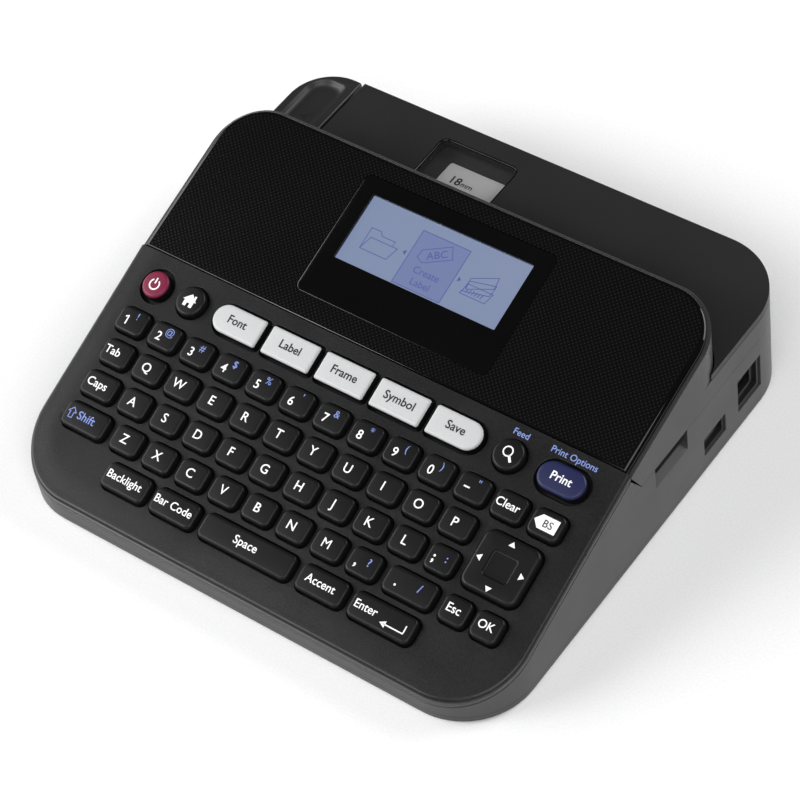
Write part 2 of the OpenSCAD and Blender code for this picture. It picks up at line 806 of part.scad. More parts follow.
// Drive motor on two standoffs above the chassis plate, with its shaft pointing down
module motor() {
    color("silver")
        translate([motor_xy[0], motor_xy[1], 0])
            difference() {
                union() {
                    translate([0, 0, 14.6]) cylinder(r = 9.6, h = 20);
                    translate([0, 0, 34.6 - thin]) cylinder(r = 3.5, h = 1.6);
                    translate([0, 0, 13.6]) linear_extrude(1.2) rounded(24, 9, 3);
                    for (x = [-1, 1]) translate([x * 9.5, 0, plate_z + plate_t]) cylinder(r = 2, h = 4);
                }
                translate([0, 0, 13]) cylinder(r = 1.6, h = 3);
            }
}

module chassis_plate() {
    color("silver")
        difference() {
            union() {
                translate([0, 0, plate_z]) linear_extrude(plate_t)
                    intersection() {
                        case_plan(wall + 0.8);
                        union() {
                            translate([-91.5, 22]) square([25.5, 60]);
                            translate([-91.5, 44.5]) square([98, 38.5]);
                        }
                    }
                for (x = [-89.3, -82.6]) {
                    rod_x(2.6, x, x + 1.6, lever_y, lever_z);
                    block([x, lever_y - 2.6, plate_z], [x + 1.6, lever_y + 2.6, lever_z]);
                }
                for (p = [idler_xy, takeup_xy])
                    translate([p[0], p[1], plate_z]) cylinder(r = 1.5, h = gear_z + gear_t + 0.8 - plate_z);
            }
            rod_x(lever_pin_r, -95, -75, lever_y, lever_z);
            for (p = [platen_xy, motor_xy])
                translate([p[0], p[1], plate_z - 1]) cylinder(r = 1.55, h = plate_t + 2);
        }
}

// ---- Electronics and power ----

module main_board() {
    color("darkgreen") {
        block([38, 24, circuit_z], [90, 66, circuit_z + circuit_t]);
        for (p = [[46, 30], [60, 46]])
            translate([p[0], p[1], circuit_z + circuit_t - thin]) cube([11, 11, 1.6]);
        for (x = [44 : 6 : 68])
            translate([x, 61, circuit_z + circuit_t - thin]) cylinder(r = 2.2, h = 6);
    }
}

module keypad_board() {
    color("darkgreen")
        on_deck() translate([0, 0, board_top - board_t]) linear_extrude(board_t)
            union() {
                translate([-86.5, 20]) square([173, 63]);
                translate([-70, 9]) square([140, 12]);
            }
}

dc_mid = [(dc_y0 + dc_y1) / 2, (dc_z0 + dc_z1) / 2];

// Power inlet: a block with a round mouth and a centre contact
module dc_jack() {
    color([0.12, 0.12, 0.12]) {
        difference() {
            block([77, dc_y0 + 0.6, circuit_z + circuit_t],
                  [half_w - socket_depth - 0.1, dc_y1 - 0.6, dc_z1 - 0.6]);
            rod_x(3.2, 80, half_w, dc_mid[0], dc_mid[1]);
        }
        rod_x(1, 79.5, half_w - socket_depth - 1.5, dc_mid[0], dc_mid[1]);
    }
}

// Small data socket: a metal shell round a flat tongue
module usb_socket() {
    y = (usb_y0 + usb_y1) / 2;
    x1 = half_w - socket_depth - 0.1;
    color("silver") {
        difference() {
            block([82, y - 3.9, circuit_z + circuit_t], [x1, y + 3.9, 14.4]);
            block([84, y - 3.3, 10], [x1 + 1, y + 3.3, 13.8]);
        }
        block([83.5, y - 2.4, 11.5], [x1 - 0.6, y + 2.4, 12.3]);
    }
}

module battery_cover() {
    color([0.3, 0.3, 0.31])
        difference() {
            block([bay_x0 - 0.7, bay_y0 - 0.7, ground_gap],
                  [bay_x1 + 0.7, bay_y1 + 0.7, ground_gap + door_t]);
            // Finger scoop near the rear edge
            translate([(bay_x0 + bay_x1) / 2, bay_y1 - 8, ground_gap - 18.9]) sphere(r = 19.8, $fn = 96);
        }
}

module batteries() {
    for (i = [0 : 5]) {
        x = (bay_x0 + bay_x1) / 2 + (i - 2.5) * cell_pitch;
        side = i % 2 == 0 ? 1 : -1;
        mid_y = (bay_y0 + bay_y1) / 2 - side * 1;
        color("darkorange")
            translate([x, mid_y - side * cell_len / 2, cell_z]) rotate([-90 * side, 0, 0]) {
                cylinder(r = cell_r, h = cell_len);
                translate([0, 0, cell_len - thin]) cylinder(r = 2.7, h = 1.2);
            }
    }
}

// Contact plates at the ends of the bay, with a coil against each cell's flat end
module battery_contacts() {
    for (i = [0 : 5]) {
        x = (bay_x0 + bay_x1) / 2 + (i - 2.5) * cell_pitch;
        side = i % 2 == 0 ? 1 : -1;
        flat_end = (bay_y0 + bay_y1) / 2 - side * (cell_len / 2 + 1);
        wall_y = side > 0 ? bay_y0 + 0.4 : bay_y1 - 0.4;
        color("silver") {
            translate([x, wall_y, cell_z]) rotate([90 * side, 0, 0])
                cylinder(r1 = 3.6, r2 = 4.6, h = 0.4);
            for (k = [0 : 2])
                translate([x, flat_end + (wall_y - flat_end) * (0.2 + k * 0.3), cell_z]) rotate([90, 0, 0])
                    rotate_extrude() translate([2.4 + k * 0.6, 0]) circle(0.3, $fn = 12);
            translate([x, side > 0 ? bay_y1 - 0.2 : bay_y0 + 0.2, cell_z]) rotate([90, 0, 0])
                cylinder(r = 4, h = 0.4, center = true);
        }
    }
}

module rubber_feet() {
    color([0.1, 0.1, 0.1])
        for (p = foot_xy)
            translate([p[0], p[1], 0]) {
                cylinder(r1 = foot_r - 0.6, r2 = foot_r, h = 0.6);
                translate([0, 0, 0.6 - thin]) cylinder(r = foot_r, h = ground_gap + 0.2 + thin);
            }
}

module housing_screws() {
    color("silver")
        for (p = post_xy)
            translate([p[0], p[1], ground_gap + 0.3])
                difference() {
                    union() {
                        cylinder(r = 2.5, h = 0.9);
                        translate([0, 0, 0.9 - thin]) cylinder(r = screw_r, h = 10);
                    }
                    for (a = [0, 90]) rotate(a) block([-1.6, -0.3, -1], [1.6, 0.3, 0.5]);
                }
}

lower_housing();
upper_housing();
keyboard_cover();
display_cover();
display_window();
lcd_module();
tape_cover();
viewer_window();
hinge_pins();
cutter_lever();
lever_pin();
lever_spring();
cutter_blade();
fixed_blade();
cassette_shell();
tape_roll();
takeup_spool();
takeup_gear();
print_head();
platen_roller();
platen_gear();
idler_gear();
motor();
motor_pinion();
chassis_plate();
main_board();
keypad_board();
dc_jack();
usb_socket();
battery_cover();
batteries();
battery_contacts();
rubber_feet();
housing_screws();
power_key();
home_key();
font_key();
label_key();
frame_key();
symbol_key();
save_key();
preview_key();
print_key();
clear_key();
backspace_key();
arrow_pad();
esc_key();
ok_key();
space_key();
enter_key();
shift_key();
caps_key();
tab_key();
accent_key();
backlight_key();
barcode_key();
number_row_keys();
top_row_keys();
home_row_keys();
bottom_row_keys();
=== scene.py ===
"""Label maker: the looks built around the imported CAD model.

Lengths are written in millimetres and turned into metres by MM. The deck and the
display panel have their own flat coordinates: x across, t up the slope, n out of it.
"""
import json
import math

import bmesh
import bpy
from mathutils import Matrix, Vector


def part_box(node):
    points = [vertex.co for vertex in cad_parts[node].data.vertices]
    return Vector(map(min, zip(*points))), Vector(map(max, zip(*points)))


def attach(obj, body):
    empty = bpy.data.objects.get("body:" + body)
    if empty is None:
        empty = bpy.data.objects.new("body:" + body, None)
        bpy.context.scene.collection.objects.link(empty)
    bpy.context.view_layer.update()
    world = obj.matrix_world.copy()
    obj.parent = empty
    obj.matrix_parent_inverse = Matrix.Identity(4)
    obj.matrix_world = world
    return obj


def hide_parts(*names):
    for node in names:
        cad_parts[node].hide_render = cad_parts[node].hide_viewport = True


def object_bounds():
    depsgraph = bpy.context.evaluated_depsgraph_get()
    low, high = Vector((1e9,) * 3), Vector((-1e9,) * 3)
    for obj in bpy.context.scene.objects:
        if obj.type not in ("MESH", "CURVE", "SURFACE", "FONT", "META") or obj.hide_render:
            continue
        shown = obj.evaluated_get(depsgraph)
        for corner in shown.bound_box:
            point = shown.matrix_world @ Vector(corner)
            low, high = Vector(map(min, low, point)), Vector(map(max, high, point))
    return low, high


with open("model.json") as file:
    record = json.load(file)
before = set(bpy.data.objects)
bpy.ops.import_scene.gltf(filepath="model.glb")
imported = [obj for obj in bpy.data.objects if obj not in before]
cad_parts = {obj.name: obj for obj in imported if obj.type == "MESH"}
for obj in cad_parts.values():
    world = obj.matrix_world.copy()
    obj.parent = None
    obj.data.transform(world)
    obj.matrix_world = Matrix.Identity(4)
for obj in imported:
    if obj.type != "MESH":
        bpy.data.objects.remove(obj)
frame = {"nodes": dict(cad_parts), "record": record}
cad_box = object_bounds()
nodes = frame["nodes"]

# ---------------------------------------------------------------- sizes
MM = 0.001
CASE_HIGH = Vector(cad_box[1]) / MM
HALF_W = CASE_HIGH.x
HALF_D = CASE_HIGH.y
CORNER_R = 24
WALL = 2.2

# Slopes of the keyboard deck and of the display panel, which meet at the seam
DECK_TILT = math.radians(20.96)
DECK_FRONT_Z = 10.93
DECK_SKIN = 2.0
DECK_EDGE = 3.6
RIM_GROOVE = 1.5
PANEL_TILT = math.radians(17.42)
PANEL_BACK = 51.3
PANEL_CORNER_R = 18
PANEL_STEP = 1.3
PANEL_EDGE = 1.5
DOT_PITCH = 1.66
SEAM_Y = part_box("display_cover")[0][1] / MM
SEAM_Z = DECK_FRONT_Z + math.tan(DECK_TILT) * (SEAM_Y + HALF_D)

# Keys: each row has its distance up the slope (T) and the middle of its first key (X)
KEY_RISE = 2.3
KEY_GAP = 0.35
KEY_PITCH = 13.45
ROW_PITCH = 11.8
KEY_W = 11.3
KEY_H = 9.0
KEY_R = 2.4
KEY_STEPS = 8
BOTTOM_T = 14.8
Z_ROW_T = BOTTOM_T + ROW_PITCH
A_ROW_T = Z_ROW_T + ROW_PITCH
Q_ROW_T = A_ROW_T + ROW_PITCH
NUMBER_ROW_T = Q_ROW_T + ROW_PITCH
FUNCTION_T = NUMBER_ROW_T + 14.2
FUNCTION_W = 19.8
FUNCTION_H = 10.8
FUNCTION_R = 1.3
FUNCTION_X = -46.75
FUNCTION_STEP = 21.35
NUMBER_ROW_X = -81.0
Q_ROW_X = -79.63
A_ROW_X = -77.57
Z_ROW_X = -72.85

# Tape cover, lever and hood corner beside it, lines round the case, cassette strip, and the notch bar, a
# rounded bar whose near-black paints the shade deep in the notch
LID_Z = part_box("tape_cover")[1][2] / MM
LEVER_RIGHT = -75.9
LEVER_PIN_Y = 57
LEVER_PIN_Z = 35
LEVER_CORNER_R = 16
HOOD_CORNER = (-77.0, 33.3)
HOOD_R = 18.5
SPLIT_Z = 30.6
BASE_LINE_Z = 3.4
STRIP_X = -17.2
NOTCH_Y = 13.85
SHADE_BAR_Z = 28.3
SHADE_BAR_W = 17.4
SHADE_BAR_H = 4.2

# Lens, its clear part and the screen, with the range of each up the slope of the panel
LENS_W = 74.6
LENS_T = (8.0, 53.3)
LENS_H = LENS_T[1] - LENS_T[0]
LENS_MIDDLE = sum(LENS_T) / 2
GLASS_W = 62.4
GLASS_T = (22.9, 47.4)
GLASS_H = GLASS_T[1] - GLASS_T[0]
GLASS_MIDDLE = sum(GLASS_T) / 2
SCREEN_T = 35.15
SCREEN_N = -1.29

# Thickness of ink, and height of a capital as a share of the size of the built-in face
INK = 0.04
CAP_SHARE = 0.73


# ---------------------------------------------------------------- places
def place(origin, tilt, x, t, n):
    """Matrix, in metres, of a spot on a sloping plane."""
    turn = Matrix.Rotation(tilt, 4, "X")
    spot = turn @ Vector((x, t, n))
    return Matrix.Translation((Vector(origin) + spot) * MM) @ turn @ Matrix.Scale(MM, 4)


def on_deck(x, t, n=0.0):
    """Spot on the keyboard deck, counted from its front edge."""
    return place((0, -HALF_D, DECK_FRONT_Z), DECK_TILT, x, t, n)


def on_panel(x, t, n=0.0):
    """Spot on the display panel, counted from the seam."""
    return place((0, SEAM_Y, SEAM_Z), PANEL_TILT, x, t, n)


def flat(x, y, z):
    """Level spot in the case's own millimetres."""
    return place((x, y, z), 0.0, 0, 0, 0)


def facing_right(y, z, x):
    """Local x runs to the back, y up and z to the right."""
    return Matrix.Scale(MM, 4) @ Matrix(((0, 0, 1, x), (1, 0, 0, y), (0, 1, 0, z), (0, 0, 0, 1)))


# ---------------------------------------------------------------- materials
# Sockets of a Mix node that is set to colour
MIX_A = 6
MIX_B = 7
MIX_RESULT = 2


def new_material(name):
    material = bpy.data.materials.new(name)
    material.use_nodes = True
    tree = material.node_tree
    shader = tree.nodes["Principled BSDF"]
    return material, tree, shader


def node(tree, kind, **values):
    """New shader node, with values for its sockets or its settings."""
    made = tree.nodes.new(kind)
    for key, value in values.items():
        if key in made.inputs:
            made.inputs[key].default_value = value
        else:
            setattr(made, key, value)
    return made


def link(tree, source, output, target, socket):
    tree.links.new(source.outputs[output], target.inputs[socket])


def coordinates(tree, scale=1.0, tilt=0.0):
    """Object coordinates, in metres, turned back from a slope and scaled."""
    where = node(tree, "ShaderNodeTexCoord")
    mapping = node(tree, "ShaderNodeMapping")
    mapping.inputs["Rotation"].default_value = (-tilt, 0, 0)
    mapping.inputs["Scale"].default_value = (scale, scale, scale)
    link(tree, where, "Object", mapping, "Vector")
    return mapping


def noise(tree, vector, scale, detail, rough):
    made = node(tree, "ShaderNodeTexNoise", Scale=scale, Detail=detail, Roughness=rough)
    link(tree, vector, "Vector", made, "Vector")
    return made


def ramp(tree, source, output, low, high, value_low=0.0, value_high=1.0):
    made = node(tree, "ShaderNodeMapRange")
    made.inputs["From Min"].default_value = low
    made.inputs["From Max"].default_value = high
    made.inputs["To Min"].default_value = value_low
    made.inputs["To Max"].default_value = value_high
    link(tree, source, output, made, "Value")
    return made


def tint(tree, factor, dark, light):
    """Mix of two colours by the result of a ramp."""
    made = node(tree, "ShaderNodeMix", data_type="RGBA")
    made.inputs[MIX_A].default_value = (*dark, 1)
    made.inputs[MIX_B].default_value = (*light, 1)
    link(tree, factor, "Result", made, "Factor")
    return made


def mottle(tree, shader, source, dark, light, low=0.3, high=0.7):
    """Base colour that drifts between two tones with a noise."""
    shade = ramp(tree, source, "Fac", low, high)
    link(tree, tint(tree, shade, dark, light), MIX_RESULT, shader, "Base Color")


def vary_gloss(tree, shader, source, low, high):
    """Roughness that drifts between two values with a noise."""
    gloss = ramp(tree, source, "Fac", 0.3, 0.7, low, high)
    link(tree, gloss, "Result", shader, "Roughness")


def bump(tree, shader, height, output, strength, distance):
    made = node(tree, "ShaderNodeBump", Strength=strength, Distance=distance)
    link(tree, height, output, made, "Height")
    link(tree, made, "Normal", shader, "Normal")


def moulded(name, dark, light, rough, grain=2200.0, depth=0.00004, strength=0.35, spec=0.5, ior=1.5):
    """Moulded plastic: a fine spark-eroded grain, faint cloudy colour and uneven gloss."""
    material, tree, shader = new_material(name)
    where = coordinates(tree)
    fine = noise(tree, where, grain, 3.0, 0.6)
    cloud = noise(tree, where, 45.0, 3.0, 0.55)
    mottle(tree, shader, fine, dark, light, 0.35, 0.75)
    vary_gloss(tree, shader, cloud, rough - 0.04, rough + 0.04)
    bump(tree, shader, fine, "Fac", strength, depth)
    shader.inputs["Specular IOR Level"].default_value = spec
    shader.inputs["IOR"].default_value = ior
    return material


def parted(material, lines):
    """Adds fine dark lines that run round the case; lines gives the half width at each height."""
    tree = material.node_tree
    shader = tree.nodes["Principled BSDF"]
    where = node(tree, "ShaderNodeTexCoord")
    split = node(tree, "ShaderNodeSeparateXYZ")
    link(tree, where, "Object", split, "Vector")
    for height, width in lines.items():
        off = node(tree, "ShaderNodeMath", operation="COMPARE")
        off.inputs[1].default_value = height * MM
        off.inputs[2].default_value = width * MM
        link(tree, split, "Z", off, 0)
        under = shader.inputs["Base Color"].links[0].from_socket
        mix = node(tree, "ShaderNodeMix", data_type="RGBA")
        mix.inputs[MIX_B].default_value = (0.004, 0.004, 0.004, 1)
        tree.links.new(under, mix.inputs[MIX_A])
        link(tree, off, "Value", mix, "Factor")
        link(tree, mix, MIX_RESULT, shader, "Base Color")
    return material


def metal(name, colour, rough):
    """Drawn or brushed metal with fine streaks along X."""
    material, tree, shader = new_material(name)
    where = coordinates(tree)
    where.inputs["Scale"].default_value = (40.0, 900.0, 900.0)
    streak = noise(tree, where, 6.0, 4.0, 0.6)
    dark = tuple(c * 0.82 for c in colour)
    mottle(tree, shader, streak, dark, colour)
    vary_gloss(tree, shader, streak, rough - 0.06, rough + 0.06)
    shader.inputs["Metallic"].default_value = 1.0
    bump(tree, shader, streak, "Fac", 0.15, 0.00003)
    return material


def dotted_panel(name):
    """Gloss black with a staggered grid of tiny raised dots."""
    material, tree, shader = new_material(name)
    where = coordinates(tree, 1.0 / (DOT_PITCH * MM), PANEL_TILT)
    split = node(tree, "ShaderNodeSeparateXYZ")
    link(tree, where, "Vector", split, "Vector")

    def math_node(operation, a, b=None):
        made = node(tree, "ShaderNodeMath", operation=operation)
        for index, value in enumerate((a, b)):
            if value is None:
                continue
            if isinstance(value, (int, float)):
                made.inputs[index].default_value = value
            else:
                tree.links.new(value, made.inputs[index])
        return made.outputs[0]

    def grid(offset):
        """Squared distance to the nearest point of a square grid."""
        x = math_node("FRACT", math_node("ADD", split.outputs["X"], offset))
        y = math_node("FRACT", math_node("ADD", split.outputs["Y"], offset))
        dx = math_node("SUBTRACT", x, 0.5)
        dy = math_node("SUBTRACT", y, 0.5)
        return math_node("ADD", math_node("MULTIPLY", dx, dx), math_node("MULTIPLY", dy, dy))

    nearest = math_node("MINIMUM", grid(0.0), grid(0.5))
    dot = node(tree, "ShaderNodeMapRange", interpolation_type="SMOOTHSTEP")
    dot.inputs["From Min"].default_value = 0.045
    dot.inputs["From Max"].default_value = 0.01
    tree.links.new(nearest, dot.inputs["Value"])
    colour = tint(tree, dot, (0.0022, 0.0022, 0.0025), (0.0085, 0.0085, 0.009))
    link(tree, colour, MIX_RESULT, shader, "Base Color")
    gloss = ramp(tree, dot, "Result", 0.0, 1.0, 0.16, 0.26)
    link(tree, gloss, "Result", shader, "Roughness")
    bump(tree, shader, dot, "Result", 0.25, 0.00004)
    shader.inputs["Specular IOR Level"].default_value = 0.34
    return material


def glossy(name, colour, rough=0.06, spec=0.5):
    """Polished plastic with a very slight moulded waviness."""
    material, tree, shader = new_material(name)
    where = coordinates(tree)
    ripple = noise(tree, where, 60.0, 2.0, 0.5)
    light = tuple(c * 1.25 for c in colour)
    mottle(tree, shader, ripple, colour, light)
    vary_gloss(tree, shader, ripple, rough, rough * 1.5)
    bump(tree, shader, ripple, "Fac", 0.1, 0.00001)
    shader.inputs["Specular IOR Level"].default_value = spec
    return material


def printed(name, colour, rough=0.5):
    """Ink of a legend, very slightly uneven."""
    material, tree, shader = new_material(name)
    where = coordinates(tree)
    patch = noise(tree, where, 1500.0, 2.0, 0.5)
    dark = tuple(c * 0.93 for c in colour)
    mottle(tree, shader, patch, dark, colour)
    shader.inputs["Roughness"].default_value = rough
    return material


def display_glow(name, low, high):
    """Backlit display, with a faint cloudiness of the light guide."""
    material, tree, shader = new_material(name)
    where = coordinates(tree)
    cloud = noise(tree, where, 14.0, 1.0, 0.4)
    shade = ramp(tree, cloud, "Fac", 0.35, 0.65)
    mixed = tint(tree, shade, low, high)
    shader.inputs["Base Color"].default_value = (0.01, 0.012, 0.016, 1)
    link(tree, mixed, MIX_RESULT, shader, "Emission Color")
    shader.inputs["Emission Strength"].default_value = 1.0
    shader.inputs["Roughness"].default_value = 0.35
    return material


def clear_plastic(name, colour, alpha):
    """Thin clear pane with faint smears in its gloss."""
    material, tree, shader = new_material(name)
    where = coordinates(tree)
    smear = noise(tree, where, 30.0, 2.0, 0.5)
    vary_gloss(tree, shader, smear, 0.05, 0.09)
    shader.inputs["Base Color"].default_value = (*colour, 1)
    shader.inputs["Alpha"].default_value = alpha
    return material


MATERIALS = {
    "case_grey": parted(moulded("case_grey", (0.030, 0.030, 0.032), (0.046, 0.046, 0.048), 0.42),
                        {SPLIT_Z: 0.12, BASE_LINE_Z: 0.2}),
    "deck_black": moulded("deck_black", (0.003, 0.003, 0.0035), (0.014, 0.014, 0.0145), 0.36,
                          2000.0, 0.00008, 0.5, spec=0.32),
    "panel_gloss": dotted_panel("panel_gloss"),
    "lens_black": glossy("lens_black", (0.0018, 0.0018, 0.002), spec=0.3),
    "lcd_glass": display_glow("lcd_glass", (0.25, 0.325, 0.51), (0.28, 0.34, 0.515)),
    "cover_black": moulded("cover_black", (0.014, 0.014, 0.0145), (0.020, 0.020, 0.0205), 0.4,
                           3500.0, 0.00002, spec=0.35),
    "clear_window": clear_plastic("clear_window", (0.02, 0.02, 0.022), 0.12),
    "steel": metal("steel", (0.62, 0.62, 0.63), 0.32),
    "cassette_grey": moulded("cassette_grey", (0.035, 0.035, 0.037), (0.05, 0.05, 0.052), 0.5),
    "tape_white": printed("tape_white", (0.8, 0.8, 0.79), 0.4),
    "gear_white": glossy("gear_white", (0.6, 0.58, 0.5), 0.35),
    "aluminium": metal("aluminium", (0.75, 0.75, 0.76), 0.35),
    "roller_rubber": moulded("roller_rubber", (0.012, 0.012, 0.012), (0.02, 0.02, 0.02), 0.7),
    "brass": metal("brass", (0.75, 0.52, 0.2), 0.3),
    "board_green": glossy("board_green", (0.015, 0.1, 0.04), 0.35),
    "socket_black": moulded("socket_black", (0.006, 0.006, 0.006), (0.012, 0.012, 0.012), 0.4),
    "cell_jacket": metal("cell_jacket", (0.2, 0.2, 0.21), 0.3),
    "contact_plate": metal("contact_plate", (0.65, 0.64, 0.6), 0.25),
    "foot_rubber": moulded("foot_rubber", (0.01, 0.01, 0.01), (0.018, 0.018, 0.018), 0.75),
    "screw_steel": metal("screw_steel", (0.3, 0.3, 0.3), 0.35),
    "key_rubber": moulded("key_rubber", (0.0044, 0.0044, 0.0048), (0.008, 0.008, 0.0085), 0.38,
                          3000.0, 0.00002, spec=0.2),
    "key_white": moulded("key_white", (0.46, 0.465, 0.47), (0.50, 0.505, 0.51), 0.4, 2500.0, 0.00001),
    "key_red": moulded("key_red", (0.15, 0.009, 0.036), (0.18, 0.012, 0.044), 0.4, 2500.0, 0.00001, spec=0.3),
    "key_blue": moulded("key_blue", (0.009, 0.012, 0.052), (0.013, 0.016, 0.068), 0.42,
                        2500.0, 0.00001, spec=0.3),
}
WHITE_INK = printed("white_ink", (0.85, 0.85, 0.85))
BLUE_INK = printed("blue_ink", (0.18, 0.25, 0.58))
DARK_INK = printed("dark_ink", (0.006, 0.006, 0.007))
LCD_INK = display_glow("lcd_ink", (0.095, 0.12, 0.40), (0.105, 0.13, 0.42))
LCD_PALE = display_glow("lcd_pale", (0.205, 0.255, 0.49), (0.215, 0.265, 0.50))
LABEL_PAPER = printed("label_paper", (0.62, 0.62, 0.62))
# Near-black with a low IOR so it hardly reflects: painted shade for the bar in the deep upper part of the
# right wall's notch
GRIP_SHADE_BLACK = moulded("grip_shade_black", (0.006, 0.006, 0.006), (0.012, 0.012, 0.012), 0.6, spec=0.2, ior=1.12)


# ---------------------------------------------------------------- mesh helpers
def tidy_mesh(bm):
    """Joins coinciding points and turns a mesh that is inside out."""
    bmesh.ops.remove_doubles(bm, verts=bm.verts, dist=0.001 * MM)
    if bm.calc_volume(signed=True) < 0:
        bmesh.ops.reverse_faces(bm, faces=bm.faces)


def mesh_object(name, bm):
    """Turns a bmesh into an object in the scene."""
    tidy_mesh(bm)
    mesh = bpy.data.meshes.new(name)
    bm.to_mesh(mesh)
    bm.free()
    obj = bpy.data.objects.new(name, mesh)
    bpy.context.scene.collection.objects.link(obj)
    return obj


def finish_mesh(name, bm, material, body, smooth_angle=35.0):
    """Makes an object from a bmesh, with soft shading up to an angle, riding on a body."""
    obj = mesh_object(name, bm)
    for polygon in obj.data.polygons:
        polygon.use_smooth = True
    obj.data.set_sharp_from_angle(angle=math.radians(smooth_angle))
    obj.data.materials.append(material)
    if body:
        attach(obj, body)
    return obj


def arc(centre_x, centre_y, radius, start, stop, steps):
    """Points along an arc, with angles in degrees."""
    angles = [math.radians(start + (stop - start) * i / steps) for i in range(steps + 1)]
    return [(centre_x + radius * math.cos(a), centre_y + radius * math.sin(a)) for a in angles]


def rounded_outline(w, h, r, steps=6, r_left=None, inset=0.0):
    """Counter-clockwise outline of a rectangle with round corners, drawn in by inset."""
    half = (w / 2 - inset, h / 2 - inset)
    left = r if r_left is None else r_left
    corners = ((1, 1, r), (-1, 1, left), (-1, -1, left), (1, -1, r))
    points = []
    for quarter, (sx, sy, radius) in enumerate(corners):
        small = max(radius - inset, 0.1)
        start = 90 * quarter
        points += arc(sx * (half[0] - small), sy * (half[1] - small), small, start, start + 90, steps)
    return points


def shoulder(width, depth, steps, turn=90.0):
    """Profile of a rounded edge from its side to its top, as pairs of inset and drop."""
    angles = [math.radians(turn * i / steps) for i in range(1, steps + 1)]
    return [(width * (1 - math.cos(a)), depth * (1 - math.sin(a))) for a in angles]


def loft(bm, rings, matrix, cap_low=True, cap_high=True):
    """Skins rings of equal length, each a list of (x, y, z), and closes the ends."""
    made = [[bm.verts.new(matrix @ Vector(p)) for p in ring] for ring in rings]
    count = len(made[0])
    for low, high in zip(made, made[1:]):
        for i in range(count):
            j = (i + 1) % count
            bm.faces.new((low[i], low[j], high[j], high[i]))
    if cap_low:
        bm.faces.new(list(reversed(made[0])))
    if cap_high:
        bm.faces.new(made[-1])


def lift(outline, z):
    """Raises a flat outline to a height."""
    return [(x, y, z) for x, y in outline]


class Ink:
    """Flat printed shapes, drawn in millimetres on a plane and raised by a hair."""

    def __init__(self):
        self.bm = bmesh.new()

    def shape(self, matrix, outline):
        area = sum(a[0] * b[1] - b[0] * a[1] for a, b in zip(outline, outline[1:] + outline[:1]))
        if area < 0:
            outline = outline[::-1]
        loft(self.bm, [lift(outline, 0.0), lift(outline, INK)], matrix)

    def stroke(self, matrix, points, width, closed=False):
        """A line of constant width along points, as one block for each stretch."""
        path = list(points)
        if closed:
            path.append(path[0])
        for a, b in zip(path, path[1:]):
            along = Vector((b[0] - a[0], b[1] - a[1]))
            if along.length < 1e-6:
                continue
            along.normalize()
            side = Vector((-along.y, along.x)) * width / 2
            reach = along * width * 0.35
            corners = [
                (a[0] - reach.x - side.x, a[1] - reach.y - side.y),
                (b[0] + reach.x - side.x, b[1] + reach.y - side.y),
                (b[0] + reach.x + side.x, b[1] + reach.y + side.y),
                (a[0] - reach.x + side.x, a[1] - reach.y + side.y),
            ]
            self.shape(matrix, corners)

    def ring(self, matrix, x, y, radius, width, start=0, stop=360, steps=40):
        """A flat band along an arc."""
        outer = arc(x, y, radius + width / 2, start, stop, steps)
        inner = arc(x, y, radius - width / 2, start, stop, steps)
        for i in range(steps):
            self.shape(matrix, [inner[i], outer[i], outer[i + 1], inner[i + 1]])

    def text(self, matrix, words, x, y, cap, bold=0.0):
        """Words in the plain built-in face; cap is the height of a capital letter."""
        curve = bpy.data.curves.new("words", "FONT")
        curve.body = words
        curve.size = cap / CAP_SHARE
        curve.offset = bold
        curve.extrude = INK / 2
        curve.align_x = "CENTER"
        curve.resolution_u = 4
        obj = bpy.data.objects.new("words", curve)
        bpy.context.scene.collection.objects.link(obj)
        graph = bpy.context.evaluated_depsgraph_get()
        mesh = bpy.data.meshes.new_from_object(obj.evaluated_get(graph))
        shift = Matrix.Translation((x, y - cap / 2, INK / 2))
        mesh.transform(matrix @ shift)
        self.bm.from_mesh(mesh)
        bpy.data.objects.remove(obj)
        bpy.data.meshes.remove(mesh)

    def done(self, name, material, body):
        """Turns what was drawn, if anything, into one object."""
        if self.bm.verts:
            finish_mesh(name, self.bm, material, body, 30.0)
        else:
            self.bm.free()


# ---------------------------------------------------------------- carried-over CAD nodes
def weigh_normals(obj):
    weighted = obj.modifiers.new("weighted", "WEIGHTED_NORMAL")
    weighted.keep_sharp = True


def soften(name, width):
    """Gives a CAD node small rounded edges without touching its mesh."""
    obj = nodes[name]
    weld = obj.modifiers.new("weld", "WELD")
    weld.merge_threshold = 0.001 * MM
    planar = obj.modifiers.new("planar", "DECIMATE")
    planar.decimate_type = "DISSOLVE"
    planar.angle_limit = math.radians(0.4)
    bevel = obj.modifiers.new("bevel", "BEVEL")
    bevel.width = width * MM
    bevel.segments = 3
    bevel.limit_method = "ANGLE"
    bevel.angle_limit = math.radians(40.0)
    bevel.miter_outer = "MITER_ARC"
    weigh_normals(obj)


def paint_nodes():
    """Every CAD node gets the procedural material of its slot."""
    for row in frame["record"]["subparts"]:
        obj = nodes[row["node"]]
        obj.data.materials.clear()
        obj.data.materials.append(MATERIALS[row["material_slot"]])


EDGES = {
    "lower_housing": 0.5,
    "upper_housing": 0.8,
    "tape_cover": 0.8,
    "battery_cover": 0.3,
}
paint_nodes()
for edge_node, edge_width in EDGES.items():
    soften(edge_node, edge_width)


# ---------------------------------------------------------------- cutting
def carve(solid, cutter):
    """Cuts one closed bmesh out of another and returns the result as a new bmesh."""
    body = mesh_object("solid", solid)
    tool = mesh_object("tool", cutter)
    modifier = body.modifiers.new("cut", "BOOLEAN")
    modifier.operation = "DIFFERENCE"
    modifier.solver = "MANIFOLD"
    modifier.object = tool
    graph = bpy.context.evaluated_depsgraph_get()
    cut = bpy.data.meshes.new_from_object(body.evaluated_get(graph))
    result = bmesh.new()
    result.from_mesh(cut)
    for obj in (body, tool):
        mesh = obj.data
        bpy.data.objects.remove(obj)
        bpy.data.meshes.remove(mesh)
    bpy.data.meshes.remove(cut)
    return result


